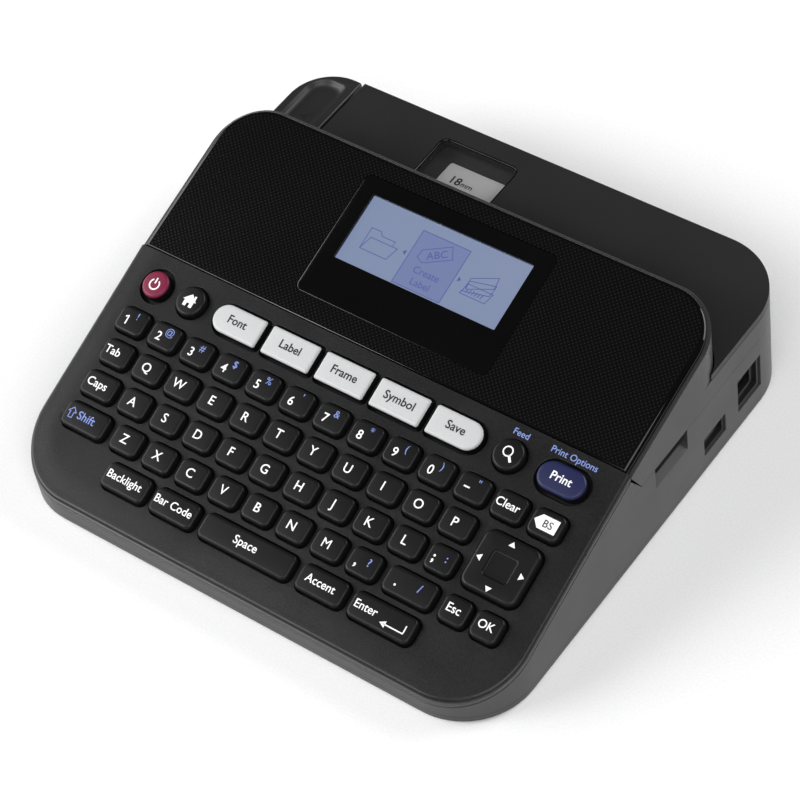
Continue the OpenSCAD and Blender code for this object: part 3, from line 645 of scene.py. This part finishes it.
# ---------------------------------------------------------------- keys
class Key:
    """Where one key cap sits on the deck, and its outline."""

    def __init__(self, x, t, w=KEY_W, h=KEY_H, r_left=KEY_R, r_right=None, flare=0.42, slack=0.0):
        self.x = x
        self.t = t
        self.w = w
        self.h = h
        self.r_left = r_left
        self.r_right = r_left if r_right is None else r_right
        self.flare = flare
        self.slack = slack

    def outline(self, inset):
        return rounded_outline(self.w, self.h, self.r_right, KEY_STEPS, self.r_left, inset)

    def cap(self, bm, edge=1.0, hollow=None):
        """Flange, slightly drafted side, rounded shoulder and a flat top."""
        flange = [(-0.5, -3.1), (-0.5, -2.35)]
        side = [(0.0, -2.3), (0.1, KEY_RISE - edge)]
        side += [(0.1 + inset, KEY_RISE - drop) for inset, drop in shoulder(edge, edge, 6)]
        skins = [lift(self.outline(inset), n) for inset, n in flange]
        skins += [lift(self.outline(inset + self.slack), n) for inset, n in side]
        if hollow:
            w, h, r, depth = hollow
            for inset, share in ((0.0, 0.0), (0.25, 0.75), (0.6, 1.0), (0.75, 1.0)):
                outline = rounded_outline(w, h, r, KEY_STEPS, r, inset)
                skins.append(lift(outline, KEY_RISE - depth * share))
        loft(bm, skins, on_deck(self.x, self.t))

    def well(self, bm):
        """Cutter for the hole in the deck, with a softly flared lip."""
        profile = ((0.0, -7.0), (0.0, -0.9), (0.18, -0.42), (0.55, -0.12), (1.0, 0.02), (1.0, 3.0))
        rings = [(-KEY_GAP - self.flare * share, n) for share, n in profile]
        loft(bm, [lift(self.outline(inset), n) for inset, n in rings], on_deck(self.x, self.t))


def key_row(x0, t, first, last):
    """Keys first to last of a row whose key 0 is at x0."""
    return [Key(x0 + i * KEY_PITCH, t) for i in range(first, last + 1)]


FUNCTION_WORDS = {
    "font_key": "Font",
    "label_key": "Label",
    "frame_key": "Frame",
    "symbol_key": "Symbol",
    "save_key": "Save",
}


def function_key(i):
    """White key i of the strip; the strip's two ends are fully round."""
    r_left = FUNCTION_H / 2 if i == 0 else FUNCTION_R
    r_right = FUNCTION_H / 2 if i == len(FUNCTION_WORDS) - 1 else FUNCTION_R
    x = FUNCTION_X + FUNCTION_STEP * i
    return Key(x, FUNCTION_T, FUNCTION_W, FUNCTION_H, r_left, r_right, 0.3, 0.45)


KEYS = {
    "power_key": [Key(-80.8, FUNCTION_T, 11.4, 11.4, 5.7, slack=0.9)],
    "home_key": [Key(-66.2, FUNCTION_T, 10.6, 10.6, 5.3)],
    **{name: [function_key(i)] for i, name in enumerate(FUNCTION_WORDS)},
    "preview_key": [Key(58, FUNCTION_T, 10.6, 10.6, 5.3)],
    "print_key": [Key(77.3, FUNCTION_T, 18.2, 11, 5.5, slack=0.7)],
    "clear_key": key_row(NUMBER_ROW_X, NUMBER_ROW_T, 11, 11),
    "backspace_key": key_row(NUMBER_ROW_X, NUMBER_ROW_T, 12, 12),
    "arrow_pad": [Key(74.4, 44.4, 20.4, 19.8, 3.4)],
    "esc_key": [Key(68.6, Z_ROW_T, 9.9)],
    "ok_key": [Key(80.2, Z_ROW_T, 9.9)],
    "space_key": [Key(-3, BOTTOM_T, 35.6)],
    "enter_key": [Key(49, BOTTOM_T, 23.6)],
    "shift_key": [Key(-76.5, Z_ROW_T, 17.4)],
    "caps_key": [Key(-78.7, A_ROW_T, 13.2)],
    "tab_key": [Key(Q_ROW_X, Q_ROW_T)],
    "accent_key": [Key(26.2, BOTTOM_T, 17.6)],
    "backlight_key": [Key(-51.6, BOTTOM_T, 17.6)],
    "barcode_key": [Key(-31.8, BOTTOM_T, 17.6)],
    "number_row_keys": key_row(NUMBER_ROW_X, NUMBER_ROW_T, 0, 10),
    "top_row_keys": key_row(Q_ROW_X, Q_ROW_T, 1, 10),
    "home_row_keys": key_row(A_ROW_X, A_ROW_T, 1, 9) + [Key(56.4, A_ROW_T, 10.2)],
    "bottom_row_keys": key_row(Z_ROW_X, Z_ROW_T, 1, 8) + [Key(52, Z_ROW_T, 18)],
}
KEY_SLOTS = {
    "power_key": "key_red",
    "print_key": "key_blue",
    **dict.fromkeys(FUNCTION_WORDS, "key_white"),
}
ARROW_PAD_HOLLOW = (9.4, 9.0, 1.4, 0.6)


def make_keys():
    """One piece for each key body; faces whose middle lies below the deck plane, the flange and the side wall
    up to the shoulder, take the black key_rubber, so only the shoulder and top show the key's own colour.
    """
    to_deck = on_deck(0, 0).inverted()
    for name, keys in KEYS.items():
        bm = bmesh.new()
        for key in keys:
            if name == "arrow_pad":
                key.cap(bm, 1.3, ARROW_PAD_HOLLOW)
            else:
                key.cap(bm)
        slot = KEY_SLOTS.get(name, "key_rubber")
        piece = finish_mesh("cap_" + name, bm, MATERIALS[slot], name, 50.0)
        piece.data.materials.append(MATERIALS["key_rubber"])
        for polygon in piece.data.polygons:
            if (to_deck @ polygon.center).z < -0.1:
                polygon.material_index = 1
        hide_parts(name)


# ---------------------------------------------------------------- deck and display panel
def deck_ring(inset, drop):
    """Front part of the case outline, drawn in and lowered from the deck plane."""
    corner_x = HALF_W - CORNER_R
    corner_y = CORNER_R - HALF_D
    back_y = SEAM_Y - 0.2
    outline = [(HALF_W - inset, back_y)]
    outline += arc(corner_x, corner_y, CORNER_R - inset, 0, -90, 24)
    outline += arc(-corner_x, corner_y, CORNER_R - inset, -90, -180, 24)
    outline += [(inset - HALF_W, back_y)]
    return [(x, y, DECK_FRONT_Z + math.tan(DECK_TILT) * (y + HALF_D) - drop) for x, y in outline]


def rim_inset(x, y):
    """Distance of a spot from the outline of the front part of the case."""
    across = max(abs(x) - (HALF_W - CORNER_R), 0)
    forward = max(CORNER_R - HALF_D - y, 0)
    return CORNER_R - math.hypot(across, forward)


def make_deck():
    """Keyboard deck: a pillowed top over a groove and a grey skirt, with a flared well for each key."""
    outside = [(0.9, DECK_EDGE), (0.7, DECK_EDGE - 0.35), (0.1, DECK_EDGE - 0.5), (0.0, DECK_EDGE - 0.7)]
    outside += [(0.0, RIM_GROOVE + 0.5), (0.15, RIM_GROOVE + 0.4), (0.6, RIM_GROOVE + 0.35)]
    outside += [(0.6, RIM_GROOVE - 0.15), (0.2, RIM_GROOVE - 0.25)]
    outside += [(0.2 + inset, 0.32 + drop) for inset, drop in shoulder(1.1, 0.9, 6, 84.0)]
    outside += [(2.0, 0.3), (3.4, 0.23), (5.0, 0.13), (7.0, 0.04), (9.3, 0.0)]
    inside = [(WALL, DECK_EDGE), (WALL, DECK_SKIN + 0.5)]
    bm = bmesh.new()
    rings = [deck_ring(inset, drop) for inset, drop in reversed(inside)]
    rings += [deck_ring(inset, drop) for inset, drop in outside]
    loft(bm, rings, Matrix.Scale(MM, 4))
    wells = bmesh.new()
    for keys in KEYS.values():
        for key in keys:
            key.well(wells)
    piece = finish_mesh("deck_shell", carve(bm, wells), MATERIALS["deck_black"], "case", 50.0)
    piece.data.materials.append(MATERIALS["case_grey"])
    to_deck = on_deck(0, 0).inverted()
    for polygon in piece.data.polygons:
        spot = polygon.center / MM
        if rim_inset(spot.x, spot.y) < 0.4 and (to_deck @ polygon.center).z < -RIM_GROOVE:
            polygon.material_index = 1
    weigh_normals(piece)
    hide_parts("keyboard_cover")


def panel_ring(inset, drop):
    """Outline of the display cover, drawn in and lowered from the panel plane."""
    side = HALF_W - PANEL_STEP - inset
    radius = PANEL_CORNER_R - PANEL_STEP - inset
    corner_x = HALF_W - PANEL_CORNER_R
    corner_y = PANEL_BACK - PANEL_CORNER_R
    front = SEAM_Y + inset * 0.35
    outline = [(side, front)]
    outline += arc(corner_x, corner_y, radius, 0, 90, 24)
    outline += arc(-corner_x, corner_y, radius, 90, 180, 24)
    outline += [(-side, front)]
    return [(x, y, SEAM_Z + math.tan(PANEL_TILT) * (y - SEAM_Y) - drop) for x, y in outline]


def make_panel():
    """Display cover: gloss rounded rim, dotted top and a recess for the lens."""
    profile = [(0.0, 2.1), (0.0, PANEL_EDGE)] + shoulder(1.7, PANEL_EDGE, 8)
    bm = bmesh.new()
    loft(bm, [panel_ring(inset, drop) for inset, drop in profile], Matrix.Scale(MM, 4))
    recess = (rounded_outline(LENS_W, LENS_H, 2.6), -1.2, LENS_MIDDLE)
    opening = (rounded_outline(66, 28.5, 0.5), -8, 35.25)
    for outline, floor_n, middle in (recess, opening):
        cutter = bmesh.new()
        loft(cutter, [lift(outline, floor_n), lift(outline, 3)], on_panel(0, middle))
        bm = carve(bm, cutter)
    piece = finish_mesh("panel_cover", bm, MATERIALS["lens_black"], "case", 40.0)
    piece.data.materials.append(MATERIALS["panel_gloss"])
    normal = Matrix.Rotation(PANEL_TILT, 3, "X") @ Vector((0, 0, 1))
    for polygon in piece.data.polygons:
        is_top = polygon.normal.dot(normal) > 0.9999 and polygon.area > 10 * MM * MM
        if is_top:
            polygon.material_index = 1
    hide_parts("display_cover")


def make_lens():
    """Black lens frame and its clear pane over the display."""

    def outer(inset, n):
        gap = 0.2 + 2 * inset
        return [(x, y + LENS_MIDDLE, n) for x, y in rounded_outline(LENS_W - gap, LENS_H - gap, 2.5)]

    def inner(n):
        return [(x, y + GLASS_MIDDLE, n) for x, y in rounded_outline(GLASS_W, GLASS_H, 0.4)]

    bm = bmesh.new()
    rings = [inner(-1.2), outer(0, -1.2), outer(0, -0.3), outer(0.1, -0.1), outer(0.35, 0.0)]
    rings += [inner(0.0), inner(-1.2)]
    loft(bm, rings, on_panel(0, 0), False, False)
    piece = finish_mesh("lens_frame", bm, MATERIALS["lens_black"], "case", 30.0)
    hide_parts("display_window")
    bm = bmesh.new()
    loft(bm, [inner(-0.6), inner(-0.02)], on_panel(0, 0))
    pane = finish_mesh("lens_pane", bm, MATERIALS["clear_window"], "case", 30.0)


# ---------------------------------------------------------------- legends
def on_key(key):
    """Middle of a key's top."""
    return on_deck(key.x, key.t, KEY_RISE)


def legend_word(name, words, cap, ink, x=0.0, y=0.5, bold=0.03):
    """One word printed on a single key."""
    drawing = Ink()
    drawing.text(on_key(KEYS[name][0]), words, x, y, cap, bold)
    drawing.done("legend_" + name, ink, name)


def legend_rows():
    """Letters and digits in white with their shifted signs in blue."""
    digits = list(zip("1234567890-", "!@#$%'&*()\""))
    white, blue = Ink(), Ink()
    for key, (plain, shifted) in zip(KEYS["number_row_keys"], digits):
        if plain == "-":
            white.stroke(on_key(key), [(-2.7, -0.3), (-0.9, -0.3)], 0.5)
        else:
            white.text(on_key(key), plain, -1.7, -0.3, 3.1, 0.04)
        blue.text(on_key(key), shifted, 1.5, 2.1, 2.5, 0.0)
    flag_of_one = [(-2.6, 0.6), (-1.75, 1.1)]
    white.stroke(on_key(KEYS["number_row_keys"][0]), flag_of_one, 0.45)
    white.done("legend_digits", WHITE_INK, "number_row_keys")
    blue.done("legend_signs", BLUE_INK, "number_row_keys")
    letters = {"top_row_keys": "QWERTYUIOP", "home_row_keys": "ASDFGHJKL", "bottom_row_keys": "ZXCVBNM"}
    signs = {"home_row_keys": [(9, ";", ":")], "bottom_row_keys": [(7, ",", "?"), (8, ".", "/")]}
    for name, line in letters.items():
        white, blue = Ink(), Ink()
        for key, letter in zip(KEYS[name], line):
            bold = 0.0 if letter == "M" else 0.03
            white.text(on_key(key), letter, -0.7, 0.4, 3.2, bold)
        for index, plain, shifted in signs.get(name, []):
            key = KEYS[name][index]
            spread = 2.4 if key.w < 14 else 4.6
            white.text(on_key(key), plain, -spread, 0.1, 3.3, 0.12)
            blue.text(on_key(key), shifted, spread * 0.75, 1.0, 2.7, 0.04)
        white.done("legend_" + name, WHITE_INK, name)
        blue.done("legend_signs_" + name, BLUE_INK, name)


def legend_icons():
    """Signs that are drawn rather than lettered."""
    power = Ink()
    spot = on_key(KEYS["power_key"][0])
    power.ring(spot, 0, -0.2, 1.75, 0.5, 125, 415)
    power.stroke(spot, [(0, 0.3), (0, 2.0)], 0.5)
    power.done("legend_power", WHITE_INK, "power_key")

    home = Ink()
    spot = on_key(KEYS["home_key"][0])
    home.shape(spot, [(-2.6, -0.1), (0, -0.1), (0, 2.3)])
    home.shape(spot, [(2.6, -0.1), (0, 2.3), (0, -0.1)])
    home.shape(spot, [(-1.8, -2.2), (-0.55, -2.2), (-0.55, -0.1), (-1.8, -0.1)])
    home.shape(spot, [(0.55, -2.2), (1.8, -2.2), (1.8, -0.1), (0.55, -0.1)])
    home.shape(spot, [(-0.55, -0.9), (0.55, -0.9), (0.55, -0.1), (-0.55, -0.1)])
    home.shape(spot, [(1.2, 1.0), (1.9, 0.5), (1.9, 2.0), (1.2, 2.0)])
    home.done("legend_home", WHITE_INK, "home_key")

    glass = Ink()
    spot = on_key(KEYS["preview_key"][0])
    glass.ring(spot, -0.3, 0.8, 1.55, 0.45)
    glass.stroke(spot, [(0.75, -0.4), (1.9, -1.9)], 0.85)
    glass.done("legend_preview", WHITE_INK, "preview_key")

    arrows = Ink()
    pad = KEYS["arrow_pad"][0]
    for quarter in range(4):
        turned = on_key(pad) @ Matrix.Rotation(math.radians(90 * quarter), 4, "Z")
        arrows.shape(turned, [(-1.15, 6.9), (1.15, 6.9), (0, 8.6)])
    arrows.done("legend_arrows", WHITE_INK, "arrow_pad")

    back = Ink()
    spot = on_key(KEYS["backspace_key"][0])
    back.shape(spot, [(-4.3, 0.2), (-2.2, -2.1), (3.9, -2.1), (3.9, 2.5), (-2.2, 2.5)])
    back.done("legend_tag", WHITE_INK, "backspace_key")
    drawing = Ink()
    drawing.text(on_deck(KEYS["backspace_key"][0].x, NUMBER_ROW_T, KEY_RISE + INK), "BS", 0.6, 0.2, 2.5, 0.02)
    drawing.done("legend_backspace", DARK_INK, "backspace_key")

    turn = Ink()
    spot = on_key(KEYS["enter_key"][0])
    turn.stroke(spot, [(8.8, 0.9), (8.8, -1.6), (1.2, -1.6)], 0.4)
    turn.shape(spot, [(0.2, -1.6), (2.3, -2.7), (2.3, -0.5)])
    turn.done("legend_return", WHITE_INK, "enter_key")

    shift = Ink()
    spot = on_key(KEYS["shift_key"][0])
    arrow = [(-5.6, 2.0), (-4.1, 0.4), (-4.9, 0.4), (-4.9, -1.6), (-6.3, -1.6), (-6.3, 0.4), (-7.1, 0.4)]
    shift.stroke(spot, arrow, 0.3, True)
    shift.done("legend_shift_arrow", BLUE_INK, "shift_key")


def make_legends():
    """Everything printed on the keys and the deck."""
    legend_rows()
    legend_icons()
    for name, words in FUNCTION_WORDS.items():
        legend_word(name, words, 2.9, DARK_INK, 0, 0.5, 0.07)
    legend_word("print_key", "Print", 2.8, WHITE_INK, 0, 0.4, 0.05)
    legend_word("clear_key", "Clear", 2.8, WHITE_INK, -0.5)
    legend_word("tab_key", "Tab", 2.9, WHITE_INK, -1.4)
    legend_word("caps_key", "Caps", 2.9, WHITE_INK, -0.9)
    legend_word("shift_key", "Shift", 2.9, BLUE_INK, 0.2)
    legend_word("backlight_key", "Backlight", 2.8, WHITE_INK, -0.6)
    legend_word("barcode_key", "Bar Code", 2.8, WHITE_INK, -0.4)
    legend_word("space_key", "Space", 2.9, WHITE_INK, -0.3)
    legend_word("accent_key", "Accent", 2.8, WHITE_INK, -0.4)
    legend_word("enter_key", "Enter", 2.8, WHITE_INK, -6.0)
    legend_word("esc_key", "Esc", 2.9, WHITE_INK, -0.4)
    legend_word("ok_key", "OK", 2.8, WHITE_INK, -0.3)
    printed_words = Ink()
    printed_words.text(on_deck(57.7, 84.2), "Feed", 0, 0, 2.2, 0.03)
    printed_words.text(on_deck(76.9, 84.3), "Print Options", 0, 0, 2.2, 0.03)
    printed_words.done("deck_words", BLUE_INK, "case")


# ---------------------------------------------------------------- display picture
def screen_icons():
    """Icons of the start screen: a folder, a chosen tag and a stack of labels."""
    screen = on_panel(0, SCREEN_T, SCREEN_N)
    raised = on_panel(0, SCREEN_T, SCREEN_N + 0.05)
    chosen = [(-9.2, -11.4), (9.2, -11.4), (9.2, 8.4), (-9.2, 8.4)]
    field = Ink()
    field.shape(screen, chosen)
    field.done("screen_field", LCD_PALE, "case")
    lines = Ink()
    lines.stroke(raised, chosen, 0.25, True)
    lines.text(raised, "Create", 0, -4.4, 2.6)
    lines.text(raised, "Label", 0, -8.4, 2.6)
    slanted = raised @ Matrix.Translation((-0.6, 2.6, 0)) @ Matrix.Rotation(math.radians(30), 4, "Z")
    lines.stroke(slanted, [(-6.4, 0), (-4.6, 2.3), (5.4, 2.3), (5.4, -2.3), (-4.6, -2.3)], 0.25, True)
    lines.text(slanted, "ABC", 0.3, 0.0, 2.7)
    for side in (-1, 1):
        y = -1.2 - 0.4 * side
        lines.shape(raised, [(side * 10.4, y + 0.9), (side * 10.4, y - 0.9), (side * 11.6, y)])
    folder = [(-25.6, -5.6), (-25.6, 2.2), (-21.9, 2.2), (-20.8, 0.9), (-15.6, 0.9), (-15.6, -0.9)]
    lines.stroke(raised, folder, 0.25)
    lines.stroke(raised, [(-25.6, -5.6), (-24.0, -0.9), (-13.6, -0.9), (-15.2, -5.6)], 0.25, True)
    for step in range(3):
        leaf = raised @ Matrix.Translation((18.6, -3.6 + 1.9 * step, 0))
        leaf = leaf @ Matrix.Rotation(math.radians(12 * step), 4, "Z")
        lines.stroke(leaf, [(-5.2, -1.9), (4.2, -1.9), (5.4, 1.9), (-4.0, 1.9)], 0.25, True)
    for bar in range(6):
        x = 15.2 + 1.1 * bar
        lines.stroke(raised, [(x, -4.6), (x + 0.35, -3.2)], 0.3)
    lines.done("screen_lines", LCD_INK, "case")


# ---------------------------------------------------------------- tape window, lever and sockets
def tape_details():
    """Label strip on the cassette, and the rim of the window in the cover."""
    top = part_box("cassette_shell")[1][2] / MM
    strip = Ink()
    strip.shape(flat(STRIP_X, 69.6, top), rounded_outline(26.0, 13.5, 1.0))
    strip.done("cassette_strip", LABEL_PAPER, "case")
    words = Ink()
    words.text(flat(-24.2, 70.2, top + INK), "18", 0, 0, 3.4, 0.06)
    words.text(flat(-19.4, 69.8, top + INK), "mm", 0, 0, 2.2, 0.03)
    words.stroke(flat(STRIP_X, 65.6, top + INK), [(-10, 0), (10, 0)], 0.4)
    words.done("cassette_words", DARK_INK, "case")
    low, high = (Vector(corner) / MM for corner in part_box("viewer_window"))
    middle = (low + high) / 2
    w, h = high.x - low.x, high.y - low.y
    rings = [(0.0, -0.3), (0.0, -0.1), (0.12, -0.02), (0.35, -0.02), (0.5, -0.14), (0.6, -0.3), (0.0, -0.3)]
    bm = bmesh.new()
    skins = [lift(rounded_outline(w - 2 * i, h - 2 * i, 3 - i, 8), n) for i, n in rings]
    loft(bm, skins, flat(middle.x, middle.y, LID_Z), False, False)
    finish_mesh("window_rim", bm, MATERIALS["lens_black"], "cover", 50.0)


def lever_outline(inset):
    """Left rear corner of the case top, outside the hood's round corner, drawn in by inset."""
    hood_x, hood_y = HOOD_CORNER
    hood_r = HOOD_R + inset
    corner_x = LEVER_CORNER_R - HALF_W
    corner_y = HALF_D - LEVER_CORNER_R
    right = LEVER_RIGHT - inset
    left = inset - HALF_W
    rise = math.sqrt(hood_r ** 2 - (left - hood_x) ** 2)
    tip = math.degrees(math.atan2(rise, left - hood_x))
    outline = arc(right - 0.7, HALF_D - inset - 0.7, 0.7, 0, 90, 4)
    outline += arc(corner_x, corner_y, LEVER_CORNER_R - inset, 90, 180, 20)
    outline += arc(hood_x, hood_y, hood_r, tip, 90, 14)
    outline += [(right, hood_y + hood_r)]
    return outline


def rest_outline(inset):
    """Plan of the finger rest in the lever, which runs out towards the hood."""
    left = inset - 92.2
    right = -78.9 - inset
    back = 85.2 - inset
    front = 40.0
    big = 7.6 - inset
    small = 2.4
    outline = [(right, front)]
    outline += arc(right - small, back - small, small, 0, 90, 8)
    outline += arc(left + big, back - big, big, 90, 180, 16)
    outline += [(left, front)]
    return outline


def make_lever():
    """Cutter lever: a cap with a deep finger rest, on two ears round its pin."""
    rings = [(1.8, LID_Z - 2.9), (1.8, LID_Z - 4.9), (0.05, LID_Z - 4.9), (0.0, LID_Z - 0.9)]
    rings += [(inset, LID_Z - drop) for inset, drop in shoulder(0.9, 0.9, 6)]
    bm = bmesh.new()
    loft(bm, [lift(lever_outline(inset), z) for inset, z in rings], Matrix.Scale(MM, 4))
    dish = [(3.2, -2.0), (3.0, -2.0), (2.2, -1.9), (1.5, -1.55), (0.95, -1.0), (0.55, -0.45)]
    dish += [(0.2, -0.1), (-0.2, 0.05), (-0.2, 2.0)]
    cutter = bmesh.new()
    loft(cutter, [lift(rest_outline(inset), LID_Z + n) for inset, n in dish], Matrix.Scale(MM, 4))
    cap = carve(bm, cutter)
    ear = arc(0, 0, 2.8, 180, 360, 12) + [(2.8, 3.2), (-2.8, 3.2)]
    bore = arc(0, 0, 1.55, 180, 360, 12) + arc(0, 0, 1.55, 60, 120, 1)
    rings = [lift(bore, 0), lift(ear, 0), lift(ear, 2), lift(bore, 2), lift(bore, 0)]
    for x in (-91.9, -80.5):
        loft(cap, rings, facing_right(LEVER_PIN_Y, LEVER_PIN_Z, x), False, False)
    lever = finish_mesh("lever_cap", cap, MATERIALS["cover_black"], "lever", 50.0)
    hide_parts("cutter_lever")
    scissors = Ink()
    spot = flat(-84.6, 68.5, LID_Z - 1.98) @ Matrix.Rotation(math.radians(60), 4, "Z")
    for side in (-1, 1):
        scissors.ring(spot, -1.3, side * 0.75, 0.55, 0.2, 0, 360, 16)
        scissors.stroke(spot, [(-0.9, side * 0.4), (1.7, -side * 0.6)], 0.22)
    scissors.done("legend_scissors", DARK_INK, "lever")


def socket_liner(name, y0, y1, z0, z1, step):
    """Stepped black frame inside a socket recess."""
    w, h = y1 - y0, z1 - z0
    rings = [(0.06, -4.5), (0.06, -0.9), (0.2, -0.75), (step * 0.4, -0.75), (step * 0.5, -0.9)]
    rings += [(step * 0.5, -2.4), (step * 0.9, -2.5), (step, -2.7), (step, -4.5), (0.06, -4.5)]
    bm = bmesh.new()
    skins = [lift(rounded_outline(w - 2 * i, h - 2 * i, 0.6, 4), n) for i, n in rings]
    loft(bm, skins, facing_right((y0 + y1) / 2, (z0 + z1) / 2, HALF_W), False, False)
    piece = finish_mesh(name, bm, MATERIALS["socket_black"], "case", 30.0)


def make_wall_details():
    """Socket liners, and a rounded bar across the finger notch of the right wall whose near-black paints the
    shade in the deep upper part of the notch.
    """
    socket_liner("power_liner", 51.8, 65.3, 8.6, 23.0, 2.6)
    socket_liner("data_liner", 31.8, 44.2, 8.0, 16.0, 2.0)
    bm = bmesh.new()
    # Rounded bar inside the notch, in a near-black that stands in for the shade there
    rings = [(0.0, -3.4), (0.0, -1.5), (0.15, -1.1), (0.5, -0.75), (1.0, -0.55), (1.6, -0.5)]
    skins = [lift(rounded_outline(SHADE_BAR_W - 2 * i, SHADE_BAR_H - 2 * i, 2.0 - i), n) for i, n in rings]
    loft(bm, skins, facing_right(NOTCH_Y, SHADE_BAR_Z, HALF_W))
    grip_shade = finish_mesh("notch_grip_shade", bm, GRIP_SHADE_BLACK, "case", 40.0)


make_keys()
make_deck()
make_panel()
make_lens()
make_legends()
screen_icons()
tape_details()
make_lever()
make_wall_details()


# ---------------------------------------------------------------- stage, light and camera
def area_light(name, spot, aim, size, power):
    """Rectangular light at a spot, in metres, turned to its aim."""
    data = bpy.data.lights.new(name, "AREA")
    data.shape = "RECTANGLE"
    data.size, data.size_y = size
    data.energy = power
    obj = bpy.data.objects.new(name, data)
    bpy.context.scene.collection.objects.link(obj)
    obj.location = spot
    obj.rotation_euler = (Vector(aim) - Vector(spot)).to_track_quat("-Z", "Y").to_euler()


def make_stage():
    """Pale floor, dim white surroundings and four soft lights."""
    bm = bmesh.new()
    floor_reach = 4.0
    bmesh.ops.create_grid(bm, x_segments=2, y_segments=2, size=floor_reach)
    floor = finish_mesh("floor", bm, printed("floor_white", (0.84, 0.84, 0.84), 0.9), None)
    world = bpy.data.worlds.new("studio")
    bpy.context.scene.world = world
    world.use_nodes = True
    background = world.node_tree.nodes["Background"]
    background.inputs["Color"].default_value = (1, 1, 1, 1)
    background.inputs["Strength"].default_value = 0.06
    area_light("key_light", (0.9, -1.1, 1.6), (0, 0, 0), (2.0, 1.6), 36)
    area_light("front_glow", (-1.0, -1.15, 1.0), (0, 0, 0.03), (0.7, 0.7), 15)
    area_light("left_softbox", (-1.6, -0.5, 0.8), (0, 0, 0.03), (1.6, 1.1), 28)
    area_light("right_softbox", (1.0, 1.5, 0.9), (0, 0, 0.03), (1.4, 1.2), 30)


def make_camera():
    """Camera at the studio viewpoint: azimuth and elevation round a target, with a small roll."""
    sensor_width = 36
    focal_length = 127.6101
    azimuth = math.radians(43.79)
    elevation = math.radians(49.59)
    roll = math.radians(-10.4)
    distance = 896.25 * MM
    target = Vector((6.98, -7.34, 22.91)) * MM
    back = Vector((
        math.sin(azimuth) * math.cos(elevation),
        -math.cos(azimuth) * math.cos(elevation),
        math.sin(elevation),
    ))
    level = (-back).cross(Vector((0, 0, 1))).normalized()
    lifted = level.cross(-back)
    right = math.cos(roll) * level + math.sin(roll) * lifted
    up = math.cos(roll) * lifted - math.sin(roll) * level
    data = bpy.data.cameras.new("camera")
    data.sensor_width = sensor_width
    data.lens = focal_length
    data.clip_start = 0.01
    camera = bpy.data.objects.new("camera", data)
    bpy.context.scene.collection.objects.link(camera)
    turn = Matrix((right, up, back)).transposed().to_4x4()
    camera.matrix_world = Matrix.Translation(target + back * distance) @ turn
    bpy.context.scene.camera = camera


make_stage()
make_camera()
bpy.context.scene.view_settings.view_transform = "Standard"
